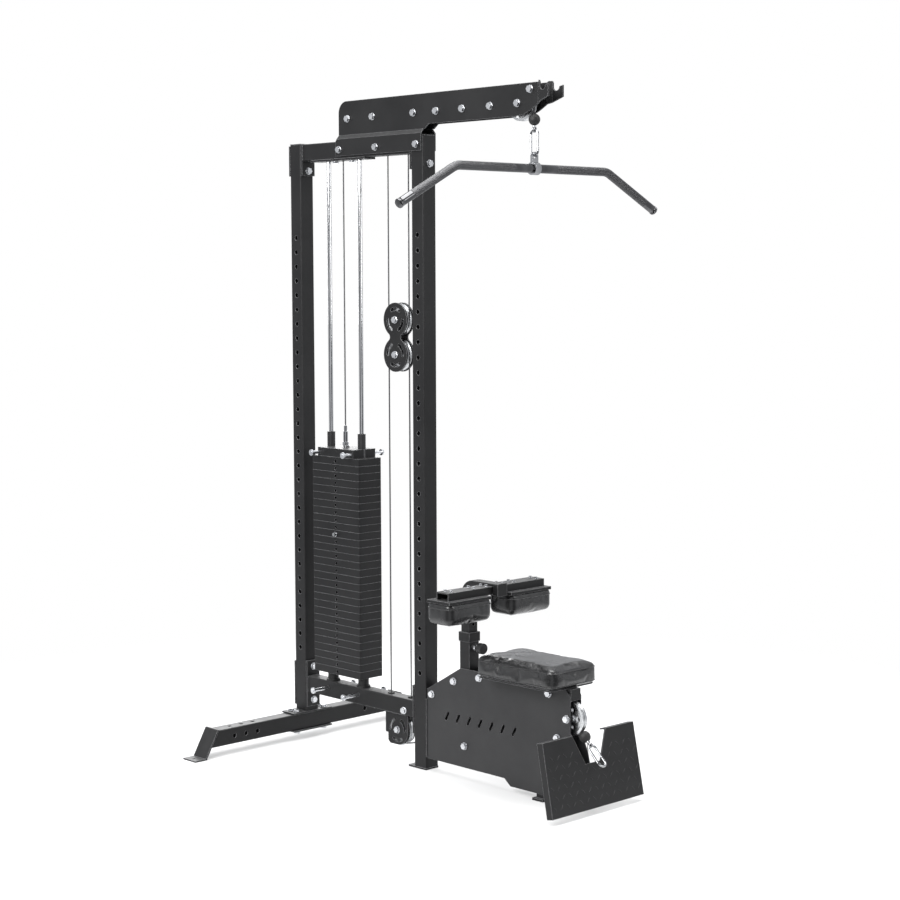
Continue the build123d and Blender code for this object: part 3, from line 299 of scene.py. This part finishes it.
def blendColour(tree, mask, low, high):
    mix = tree.nodes.new("ShaderNodeMix")
    mix.data_type = "RGBA"
    tree.links.new(mask, mix.inputs[0])
    for slot, value in ((6, low), (7, high)):
        if isinstance(value, tuple):
            mix.inputs[slot].default_value = (*value, 1)
        else:
            tree.links.new(value, mix.inputs[slot])
    return mix.outputs[2]


def spread(tree, value, low, high, fromLow=0.3, fromHigh=0.7):
    mapped = tree.nodes.new("ShaderNodeMapRange")
    mapped.inputs["From Min"].default_value, mapped.inputs["From Max"].default_value = fromLow, fromHigh
    mapped.inputs["To Min"].default_value, mapped.inputs["To Max"].default_value = low, high
    tree.links.new(value, mapped.inputs["Value"])
    return mapped.outputs[0]


def bumpOn(tree, height, depth, normal=None, strength=1.0):
    bump = tree.nodes.new("ShaderNodeBump")
    bump.inputs["Strength"].default_value = strength
    bump.inputs["Distance"].default_value = depth
    tree.links.new(height, bump.inputs["Height"])
    if normal is not None:
        tree.links.new(normal, bump.inputs["Normal"])
    return bump.outputs[0]


def newMaterial(name, **values):
    material = bpy.data.materials.new(name)
    material.use_nodes = True
    shader = material.node_tree.nodes["Principled BSDF"]
    for key, value in values.items():
        shader.inputs[key.replace("_", " ")].default_value = value
    return material, material.node_tree, shader


def coated(name, dark, light, rough, wearAndHighlightGain, grain=700.0, depth=0.00006, dust=0.18, radius=0.0013):
    # powder coat or paint over steel: grain, bright edges that are partly worn coat and partly a painted edge
    # highlight, a little dust
    bareEdgeAndHighlight, dustGrey = (0.34, 0.34, 0.35), (0.5, 0.5, 0.5)
    material, tree, shader = newMaterial(name, Specular_IOR_Level=0.3)
    peel = placeGroup(tree, powderGrain, Scale=grain)
    wornAndHighlit = placeGroup(tree, edgeWearAndHighlight, Radius=radius, Gain=wearAndHighlightGain)
    dusty = placeGroup(tree, settledDust, Amount=dust)
    tone = spread(tree, peel.outputs["Tone"], 0, 1)
    base = blendColour(tree, tone, dark, light)
    # edges blend to pale grey: partly bare worn steel, partly a painted highlight along each edge
    edged = blendColour(tree, wornAndHighlit.outputs["Mask"], base, bareEdgeAndHighlight)
    tree.links.new(blendColour(tree, dusty.outputs["Mask"], edged, dustGrey), shader.inputs["Base Color"])
    tree.links.new(spread(tree, peel.outputs["Tone"], rough - 0.06, rough + 0.08), shader.inputs["Roughness"])
    tree.links.new(bumpOn(tree, peel.outputs["Height"], depth, wornAndHighlit.outputs["Normal"]), shader.inputs["Normal"])
    return material


def plated(name, dark, light, rough, marks=(1, 1, 1), scale=120.0, depth=0.00002, radius=0.0008):
    # bare, plated or turned metal
    material, tree, shader = newMaterial(name, Metallic=1.0)
    scratch = placeGroup(tree, toolMarks, Scale=scale, Stretch=marks)
    wornAndHighlit = placeGroup(tree, edgeWearAndHighlight, Radius=radius, Gain=2.0)
    tone = spread(tree, scratch.outputs["Tone"], 0, 1)
    tree.links.new(blendColour(tree, tone, dark, light), shader.inputs["Base Color"])
    height = scratch.outputs["Height"]
    tree.links.new(spread(tree, height, rough * 0.7, rough * 1.5), shader.inputs["Roughness"])
    tree.links.new(bumpOn(tree, height, depth, wornAndHighlit.outputs["Normal"]), shader.inputs["Normal"])
    return material


def moulded(name, dark, light, rough, grain, depth):
    # rubber and moulded plastic
    material, tree, shader = newMaterial(name, Specular_IOR_Level=0.45)
    peel = placeGroup(tree, powderGrain, Scale=grain)
    wornAndHighlit = placeGroup(tree, edgeWearAndHighlight, Radius=0.001, Gain=1.5)
    tone = spread(tree, peel.outputs["Tone"], 0, 1)
    tree.links.new(blendColour(tree, tone, dark, light), shader.inputs["Base Color"])
    tree.links.new(spread(tree, peel.outputs["Height"], rough - 0.08, rough + 0.1), shader.inputs["Roughness"])
    tree.links.new(bumpOn(tree, peel.outputs["Height"], depth, wornAndHighlit.outputs["Normal"]), shader.inputs["Normal"])
    return material


# Each finish: how it is made, then its darkest and its lightest tone and its roughness, then what is its own.
finishFacts = {
    # the frame's and the weight plates' high edge gains, and the frame's wider radius, paint bright lines along
    # their edges: partly wear, partly a painted edge highlight
    "framePowder": (coated, (0.0075, 0.0075, 0.008), (0.0145, 0.0145, 0.015), 0.46,
                    {"wearAndHighlightGain": 9.0, "radius": 0.0022}),
    "sidePowder": (coated, (0.024, 0.024, 0.025), (0.037, 0.037, 0.038), 0.42, {"wearAndHighlightGain": 6.0}),
    "treadPowder": (coated, (0.0095, 0.0095, 0.01), (0.0165, 0.0165, 0.017), 0.46,
                    {"wearAndHighlightGain": 2.5, "radius": 0.0008}),
    "platePaint": (coated, (0.006, 0.006, 0.0065), (0.012, 0.012, 0.0125), 0.42,
                   {"wearAndHighlightGain": 9.0, "grain": 420.0, "depth": 0.0001, "dust": 0.08}),
    "zincBolt": (plated, (0.56, 0.57, 0.59), (0.82, 0.83, 0.85), 0.24, {"scale": 240.0}),
    "polishedChrome": (plated, (0.34, 0.345, 0.355), (0.5, 0.505, 0.515), 0.08, {"depth": 0.000004}),
    "rodChrome": (plated, (0.62, 0.625, 0.635), (0.76, 0.765, 0.775), 0.1,
                  {"marks": (1, 1, 0.04), "scale": 260.0}),
    "turnedAluminium": (plated, (0.5, 0.51, 0.52), (0.74, 0.75, 0.76), 0.27,
                        {"scale": 300.0, "depth": 0.00004}),
    "blackRubber": (moulded, (0.012, 0.012, 0.012), (0.022, 0.022, 0.022), 0.55,
                    {"grain": 900.0, "depth": 0.00005}),
    "blackPlastic": (moulded, (0.014, 0.014, 0.015), (0.022, 0.022, 0.023), 0.42,
                     {"grain": 1500.0, "depth": 0.00003}),
}

finishes = {}
for finishName, (make, darkest, lightest, roughness, own) in finishFacts.items():
    finishes[finishName] = make(finishName, darkest, lightest, roughness, **own)


def makeJacketedCable():
    # wire rope showing through a thin smoked jacket: a fine helical lay
    material, tree, shader = newMaterial("jacketedCable", Coat_Weight=0.5, Coat_Roughness=0.15, Metallic=0.35)
    where = addNode(tree, "ShaderNodeTexCoord")
    lay = addNode(tree, "ShaderNodeTexWave", {"bands_direction": "DIAGONAL"}, Scale=180.0, Distortion=0.4)
    tree.links.new(where.outputs["Object"], lay.inputs["Vector"])
    tone = blendColour(tree, lay.outputs["Fac"], (0.03, 0.03, 0.032), (0.13, 0.13, 0.135))
    tree.links.new(tone, shader.inputs["Base Color"])
    tree.links.new(spread(tree, lay.outputs["Fac"], 0.3, 0.45, 0, 1), shader.inputs["Roughness"])
    tree.links.new(bumpOn(tree, lay.outputs["Fac"], 0.0003), shader.inputs["Normal"])
    return material


finishes["jacketedCable"] = makeJacketedCable()


def makeKnurledChrome():
    # the pulldown bar: diamond knurl on the grips, smooth at its middle and at its ends; its chrome is painted
    # dark, a painted reflection of dark surroundings, and the knurl's cuts are painted darker than its
    # diamonds, a painted shade in the grooves
    girth, gripStart, gripEnd = 0.088, 0.095, 0.545
    material, tree, shader = newMaterial("knurledChrome", Metallic=1.0)
    where = addNode(tree, "ShaderNodeTexCoord")
    flat = addNode(tree, "ShaderNodeMapping", Scale=(girth, 1, 1))
    tree.links.new(where.outputs["UV"], flat.inputs["Vector"])
    cuts = []
    for angle in (0.6, -0.6):
        turned = addNode(tree, "ShaderNodeVectorRotate", {"rotation_type": "Z_AXIS"}, Angle=angle)
        cut = addNode(tree, "ShaderNodeTexWave", {"bands_direction": "X"}, Scale=150.0)
        tree.links.new(flat.outputs[0], turned.inputs["Vector"])
        tree.links.new(turned.outputs[0], cut.inputs["Vector"])
        cuts.append(cut.outputs["Fac"])
    diamonds = mathNode(tree, "MULTIPLY", *cuts)
    split = addNode(tree, "ShaderNodeSeparateXYZ")
    tree.links.new(where.outputs["UV"], split.inputs[0])
    out = mathNode(tree, "ABSOLUTE", split.outputs["Y"])
    past, before = mathNode(tree, "GREATER_THAN", out, gripStart), mathNode(tree, "LESS_THAN", out, gripEnd)
    zone = mathNode(tree, "MULTIPLY", past, before)
    scratch = placeGroup(tree, toolMarks, Scale=110.0)
    tone = spread(tree, scratch.outputs["Tone"], 0, 1)
    # the smooth chrome's low tone is a painted dark reflection
    plain = blendColour(tree, tone, (0.09, 0.09, 0.093), (0.15, 0.15, 0.154))
    # the knurl's colour is dark in the cuts and light on the diamond tops: painted shade in the grooves and
    # painted highlight on the ridges
    knurlShadeAndHighlight = blendColour(tree, diamonds, (0.05, 0.05, 0.052), (0.24, 0.24, 0.245))
    tree.links.new(blendColour(tree, zone, plain, knurlShadeAndHighlight), shader.inputs["Base Color"])
    tree.links.new(spread(tree, zone, 0.08, 0.22, 0, 1), shader.inputs["Roughness"])
    tree.links.new(bumpOn(tree, mathNode(tree, "MULTIPLY", diamonds, zone), 0.0004), shader.inputs["Normal"])
    return material


def makeVinyl():
    # embossed upholstery vinyl over foam: grain, soft creases, dull where it is rubbed
    material, tree, shader = newMaterial("blackVinyl", Specular_IOR_Level=0.42,
                                         Coat_Weight=0.6, Coat_Roughness=0.13)
    where = addNode(tree, "ShaderNodeTexCoord")
    cells = addNode(tree, "ShaderNodeTexVoronoi", {"feature": "DISTANCE_TO_EDGE"}, Scale=620.0)
    creases = addNode(tree, "ShaderNodeTexNoise", Scale=17.0, Detail=6, Roughness=0.55, Distortion=1.2)
    rubbed = addNode(tree, "ShaderNodeTexNoise", Scale=7.0, Detail=3)
    for texture in (cells, creases, rubbed):
        tree.links.new(where.outputs["Object"], texture.inputs["Vector"])
    tone = spread(tree, rubbed.outputs["Fac"], 0, 1)
    shade = blendColour(tree, tone, (0.004, 0.004, 0.0044), (0.008, 0.008, 0.0084))
    tree.links.new(shade, shader.inputs["Base Color"])
    tree.links.new(spread(tree, rubbed.outputs["Fac"], 0.24, 0.34), shader.inputs["Roughness"])
    grain = bumpOn(tree, spread(tree, cells.outputs["Distance"], 0, 1, 0, 0.3), 0.00015)
    tree.links.new(bumpOn(tree, creases.outputs["Fac"], 0.0003, grain, 0.35), shader.inputs["Normal"])
    return material


finishes["knurledChrome"], finishes["blackVinyl"] = makeKnurledChrome(), makeVinyl()

slotFinish = {"black_steel": "framePowder", "weight_steel": "platePaint", "zinc": "zincBolt",
              "chrome": "polishedChrome", "aluminium": "turnedAluminium", "rubber": "blackRubber",
              "black_plastic": "blackPlastic", "vinyl": "blackVinyl", "cable": "jacketedCable"}
ownFinish = {"guide_rods": "rodChrome", "seat_plates": "sidePowder"}


def coatNodes():
    for row in frame["record"]["subparts"]:
        chosen = ownFinish.get(row["node"], slotFinish[row["material_slot"]])
        mesh = node[row["node"]].data
        mesh.materials.clear()
        mesh.materials.append(finishes[chosen])


def plateThePegs():
    # the plated pegs beside the black bushings of the stack's head
    fittings, bushingSide = node["head_fittings"], 0.0525
    fittings.data.materials.append(finishes["zincBolt"])
    for polygon in fittings.data.polygons:
        if abs((fittings.matrix_world @ polygon.center).y) > bushingSide:
            polygon.material_index = 1


def plateTheEye():
    # the plated eye under the row cable's rubber ball
    cableEnd, ballCentre, ballRadius = node["row_ball"], Vector((0.7253, 0, 0.232)), 0.0185
    cableEnd.data.materials.append(finishes["polishedChrome"])
    for polygon in cableEnd.data.polygons:
        away = cableEnd.matrix_world @ polygon.center - ballCentre
        if away.length > ballRadius + 0.0002 and away.z < -0.005:
            polygon.material_index = 1


coatNodes()
plateThePegs()
plateTheEye()
print("the frame's nodes have their finishes")


# Cables, the bar and the tread are meshes made here.

def sweepRing(points, radii, sides, closed=False):
    # a round section carried along a path, with the length along it as the second texture coordinate
    count = len(points)
    tangents = []
    for i in range(count):
        ahead = points[(i + 1) % count] if closed or i < count - 1 else points[i]
        behind = points[i - 1] if closed or i > 0 else points[i]
        tangents.append((ahead - behind).normalized())
    across = tangents[0].orthogonal().normalized()
    verts, along, walked = [], [], 0.0
    for i, point in enumerate(points):
        across = (across - tangents[i] * across.dot(tangents[i])).normalized()
        other = tangents[i].cross(across)
        walked += (point - points[i - 1]).length if i else 0.0
        along.append(walked)
        for k in range(sides):
            turn = 2 * math.pi * k / sides
            verts.append(point + (across * math.cos(turn) + other * math.sin(turn)) * radii[i])
    faces, coords = [], []
    for i in range(count if closed else count - 1):
        j = (i + 1) % count
        for k in range(sides):
            m = (k + 1) % sides
            faces.append((i * sides + k, i * sides + m, j * sides + m, j * sides + k))
            far = along[j] if j else along[-1] + (points[0] - points[-1]).length
            for turn, length in ((k, along[i]), (k + 1, along[i]), (k + 1, far), (k, far)):
                coords.append((turn / sides, length - along[-1] / 2))
    if not closed:
        faces += [tuple(reversed(range(sides))), tuple(range((count - 1) * sides, count * sides))]
        coords += [(0, 0)] * (2 * sides)
    return verts, faces, coords


def makePiece(name, parts, finish, smooth=True):
    verts, faces, coords = [], [], []
    for partVerts, partFaces, partCoords in parts:
        start = len(verts)
        verts += partVerts
        faces += [tuple(start + v for v in f) for f in partFaces]
        coords += partCoords
    mesh = bpy.data.meshes.new(name)
    mesh.from_pydata([tuple(v) for v in verts], [], faces)
    layer = mesh.uv_layers.new(name="along")
    for loop, coord in zip(layer.data, coords):
        loop.uv = coord
    if smooth:
        mesh.shade_smooth()
    mesh.materials.append(finishes[finish])
    made = bpy.data.objects.new(name, mesh)
    scene.collection.objects.link(made)
    return made


def straight(start, end, step=0.02):
    count = max(2, int((Vector(end) - Vector(start)).length / step) + 1)
    return [Vector(start).lerp(Vector(end), i / (count - 1)) for i in range(count)]


cableRadius, cableSides = 0.0025, 12

# Each line is the place of one straight run along X, its lower end and its upper end.
cableRuns = {
    "stackCable": {"lines": [(-0.407, 1.146, 2.206)],
                   "replaced": "stack_cable_run", "bodies": ("stack", "frame")},
    "latCable": {"lines": [(0.508, 2.166, 2.206)], "replaced": "lat_drop", "bodies": ("lat_line", "frame")},
    "highBlockCables": {"lines": [(-0.176, 1.52, 2.206), (-0.074, 1.52, 2.206)],
                        "replaced": "block_upper_runs", "bodies": ("pulley_block", "frame")},
    "lowBlockCables": {"lines": [(-0.176, 0.112, 1.402), (-0.074, 0.154, 1.402)],
                       "replaced": "block_lower_runs", "bodies": ("frame", "pulley_block")},
}


def runCables():
    for name, facts in cableRuns.items():
        parts = []
        for x, zLow, zHigh in facts["lines"]:
            path = straight((x, 0, zLow), (x, 0, zHigh))
            parts.append(sweepRing(path, [cableRadius] * len(path), cableSides))
        made = makePiece(name, parts, "jacketedCable")
        zLow, zHigh = min(line[1] for line in facts["lines"]), max(line[2] for line in facts["lines"])
        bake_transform(made)
        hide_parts(facts["replaced"])
    # the row cable's end lies close around its CAD stub, between the pulley and the ball
    exitLow, ballSide, sleeve = (0.672, 0, 0.232), (0.712, 0, 0.232), 0.0002
    path = straight(exitLow, ballSide, 0.002)
    stubRing = sweepRing(path, [cableRadius + sleeve] * len(path), cableSides)
    stub = makePiece("rowCable", [stubRing], "jacketedCable")
    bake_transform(stub)


def bendBar():
    # the bar's middle is straight and its ends slope down, with a rounded bend between
    x, middle, flatEnd, tip, tipHeight, bendRadius = 0.508, 2.001, 0.339, 0.570, 1.883, 0.07
    barRadius, step, bendSteps, slopeSteps = 0.014, 0.008, 12, 24
    endCap = ((0.0001, 0.0148), (0.0005, 0.0152), (0.0052, 0.0152), (0.006, 0.0144))
    slope = math.atan2(middle - tipHeight, tip - flatEnd)
    bendStart = flatEnd - bendRadius * math.tan(slope / 2)
    half = [Vector((x, step * i, middle)) for i in range(1, int(bendStart / step) + 1)]
    for i in range(bendSteps + 1):
        turn = slope * i / bendSteps
        dropped = bendRadius * (1 - math.cos(turn))
        half.append(Vector((x, bendStart + bendRadius * math.sin(turn), middle - dropped)))
    last, down = half[-1].copy(), Vector((0, math.cos(slope), -math.sin(slope)))
    length = (Vector((x, tip, tipHeight)) - last).length
    half += [last + down * (length * i / slopeSteps) for i in range(1, slopeSteps + 1)]
    radii = [barRadius] * len(half)
    for ahead, radius in endCap:
        half.append(last + down * (length + ahead))
        radii.append(radius)
    mirrored = [Vector((p.x, -p.y, p.z)) for p in reversed(half)]
    path = mirrored + [Vector((x, 0, middle))] + half
    ring = sweepRing(path, radii[::-1] + [barRadius] + radii, 32)
    bar = makePiece("latBar", [ring], "knurledChrome")
    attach(bar, "lat_handle")
    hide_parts("lat_bar")


def raiseTread():
    # small raised lozenges, turned alternately, on the foot plate's face
    foot, top = Vector((0.787, 0, 0.021)), Vector((0.742, 0, 0.250))
    climb = (top - foot).normalized()
    out = Vector((-climb.z, 0, climb.x)) * -1
    length, pitch = (top - foot).length, 0.030
    plateHalf, notchFloor, notchHalf, notchSlope, margin = 0.198, 0.139, 0.034, 0.45, 0.012
    halfLong, halfWide, crestHalf, crestHeight, sunk = 0.0115, 0.0026, 0.006, 0.0009, 0.0003
    parts = []
    for row in range(1, int(length / pitch)):
        for column in range(-7, 8):
            rise, side = row * pitch, (column + 0.5 * (row % 2)) * pitch
            opening = max(notchHalf, notchHalf + (rise - notchFloor) * notchSlope)
            if abs(side) > plateHalf or (rise > 0.12 and abs(side) < opening + margin):
                continue
            centre = foot + climb * rise + Vector((0, side, 0))
            turn = math.radians(45 if (row + column) % 2 else -45)
            long = climb * math.sin(turn) + Vector((0, math.cos(turn), 0))
            wide = climb * math.cos(turn) - Vector((0, math.sin(turn), 0))
            reach, half = long * halfLong, wide * halfWide
            base = [centre + reach, centre + half, centre - reach, centre - half]
            crest = [centre + sign * long * crestHalf + out * crestHeight for sign in (1, -1)]
            verts = [p - out * sunk for p in base] + crest
            faces = [(0, 1, 4), (1, 2, 5, 4), (2, 3, 5), (3, 0, 4, 5), (3, 2, 1, 0)]
            parts.append((verts, faces, [(0, 0)] * 18))
    tread = makePiece("footTread", parts, "treadPowder", smooth=False)
    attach(tread, "frame")


runCables()
bendBar()
raiseTread()
print("the cables, the bar and the tread are in")


# Upholstery: each pad is a closed skin filled by pressure, with piping laid on the result.

pads = {
    "seatPad": {"low": (0.344, -0.106, 0.384), "high": (0.685, 0.106, 0.448), "corner": 0.024,
                "held": "bottom", "gathers": True, "seed": 4, "welts": (0.393, 0.436),
                "replaced": "seat_cushion", "body": "frame"},
    "kneePadRight": {"low": (0.254, -0.237, 0.560), "high": (0.364, -0.043, 0.628), "corner": 0.022,
                     "held": "top", "gathers": False, "seed": 9, "welts": (0.614,),
                     "replaced": "knee_pad_right", "body": "knee_rest"},
    "kneePadLeft": {"low": (0.254, 0.043, 0.560), "high": (0.364, 0.237, 0.628), "corner": 0.022,
                    "held": "top", "gathers": False, "seed": 15, "welts": (0.614,),
                    "replaced": "knee_pad_left", "body": "knee_rest"},
}


def roundedOutline(facts, inset=0.0, steps=6):
    (x0, y0, _), (x1, y1, _) = facts["low"], facts["high"]
    r = facts["corner"]
    outline = []
    corners = ((x1 - r, y1 - r, 0), (x0 + r, y1 - r, 90), (x0 + r, y0 + r, 180), (x1 - r, y0 + r, 270))
    for cx, cy, start in corners:
        for i in range(steps + 1):
            turn = math.radians(start + 90 * i / steps)
            outline.append(Vector((cx + (r - inset) * math.cos(turn), cy + (r - inset) * math.sin(turn), 0)))
    return outline


def padBlank(name, facts):
    # the unfilled skin: a rounded slab with its free edge rolled over, slightly uneven
    z0, z1 = facts["low"][2], facts["high"][2]
    levels = [(z0, 0.010), (z0 + 0.003, 0.004), (z0 + 0.010, 0.0),
              (z1 - 0.012, 0.0), (z1 - 0.004, 0.004), (z1, 0.012)]
    if facts["held"] == "top":
        levels = [(z0, 0.016), (z0 + 0.005, 0.006), (z0 + 0.016, 0.0),
                  (z1 - 0.008, 0.0), (z1 - 0.002, 0.002), (z1, 0.006)]
    verts, faces = [], []
    for z, inset in levels:
        verts += [p + Vector((0, 0, z)) for p in roundedOutline(facts, inset)]
    ring = len(verts) // len(levels)
    for i in range(len(levels) - 1):
        for k in range(ring):
            m = (k + 1) % ring
            faces.append((i * ring + k, i * ring + m, (i + 1) * ring + m, (i + 1) * ring + k))
    faces += [tuple(reversed(range(ring))), tuple(range(len(verts) - ring, len(verts)))]
    mesh = bpy.data.meshes.new(name)
    mesh.from_pydata([tuple(v) for v in verts], [], faces)
    made = bpy.data.objects.new(name, mesh)
    scene.collection.objects.link(made)
    remesh = made.modifiers.new("even", "REMESH")
    remesh.mode, remesh.voxel_size = "VOXEL", 0.005
    settleMesh(made)
    for vertex in made.data.vertices:
        push = noise.noise(vertex.co * 18 + Vector((facts["seed"], 0, 0))) * 0.0003
        vertex.co += vertex.normal * push
    return made


def settleMesh(made):
    bpy.context.view_layer.update()
    depsgraph = bpy.context.evaluated_depsgraph_get()
    solid = bpy.data.meshes.new_from_object(made.evaluated_get(depsgraph))
    made.modifiers.clear()
    made.data = solid


def fillPad(made, facts):
    # the skin is filled from inside while its glued side stays put
    z0, z1 = facts["low"][2], facts["high"][2]
    gluedDepth, largestMove, lastFrame = 0.006, 0.007, 20
    glued = made.vertex_groups.new(name="glued")
    for vertex in made.data.vertices:
        depth = vertex.co.z - z0 if facts["held"] == "bottom" else z1 - vertex.co.z
        if depth < gluedDepth:
            glued.add([vertex.index], 1.0, "REPLACE")
    before = [v.co.copy() for v in made.data.vertices]
    cloth = made.modifiers.new("skin", "CLOTH")
    rules = cloth.settings
    rules.quality, rules.mass = 6, 0.25
    rules.tension_stiffness = rules.compression_stiffness = 18
    rules.shear_stiffness, rules.bending_stiffness = 8, 6
    rules.use_pressure, rules.uniform_pressure_force = True, 4.0
    rules.shrink_min = -0.006
    rules.effector_weights.gravity = 0
    rules.vertex_group_mass = "glued"
    cloth.collision_settings.use_self_collision = False
    cloth.point_cache.frame_start, cloth.point_cache.frame_end = 1, lastFrame
    for frameNumber in range(1, lastFrame + 1):
        scene.frame_set(frameNumber)
    settleMesh(made)
    scene.frame_set(1)
    for vertex, start in zip(made.data.vertices, before):
        moved = vertex.co - start
        if moved.length > largestMove:
            vertex.co = start + moved.normalized() * largestMove
    if facts["gathers"]:
        gatherVinyl(made, facts)


def gatherVinyl(made, facts):
    # long soft folds that fan out from the corner where the cover was pulled tight, and fade across the top
    corner = Vector((facts["low"][0], facts["low"][1], facts["high"][2]))
    reach, quiet, folds, height = 0.25, 0.03, 13, 0.0012
    for vertex in made.data.vertices:
        away = vertex.co - corner
        far, bearing = away.length, math.atan2(away.y, away.x)
        fade = max(0.0, 1 - far / reach) * min(1.0, far / quiet)
        if vertex.normal.z > -0.2:
            fold = math.sin(bearing * folds + noise.noise(vertex.co * 12) * 1.6)
            vertex.co += vertex.normal * (height * fade * fold)


def layWelt(made, facts, height, number):
    # a thin welt that follows the filled skin at one height
    middle = (Vector(facts["low"]) + Vector(facts["high"])) / 2
    weltRadius, lift, castFrom = 0.0019, 0.0002, 0.03
    path = []
    for point in roundedOutline(facts, -castFrom, 14):
        outside = Vector((point.x, point.y, height))
        inward = (Vector((middle.x, middle.y, height)) - outside).normalized()
        hit, where, normal, _ = made.ray_cast(outside, inward)
        if hit:
            path.append(where + normal * lift)
    ring = sweepRing(path, [weltRadius] * len(path), 8, True)
    welt = makePiece(f"{made.name}Welt{number}", [ring], "blackVinyl")
    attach(welt, facts["body"])


def upholster():
    for name, facts in pads.items():
        pad = padBlank(name, facts)
        fillPad(pad, facts)
        smoother = pad.modifiers.new("finer", "SUBSURF")
        smoother.levels = smoother.render_levels = 1
        settleMesh(pad)
        pad.data.shade_smooth()
        pad.data.materials.clear()
        pad.data.materials.append(finishes["blackVinyl"])
        bpy.context.view_layer.update()
        for number, height in enumerate(facts["welts"]):
            layWelt(pad, facts, height, number)
        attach(pad, facts["body"])
        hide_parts(facts["replaced"])
        print("filled", name)


upholster()
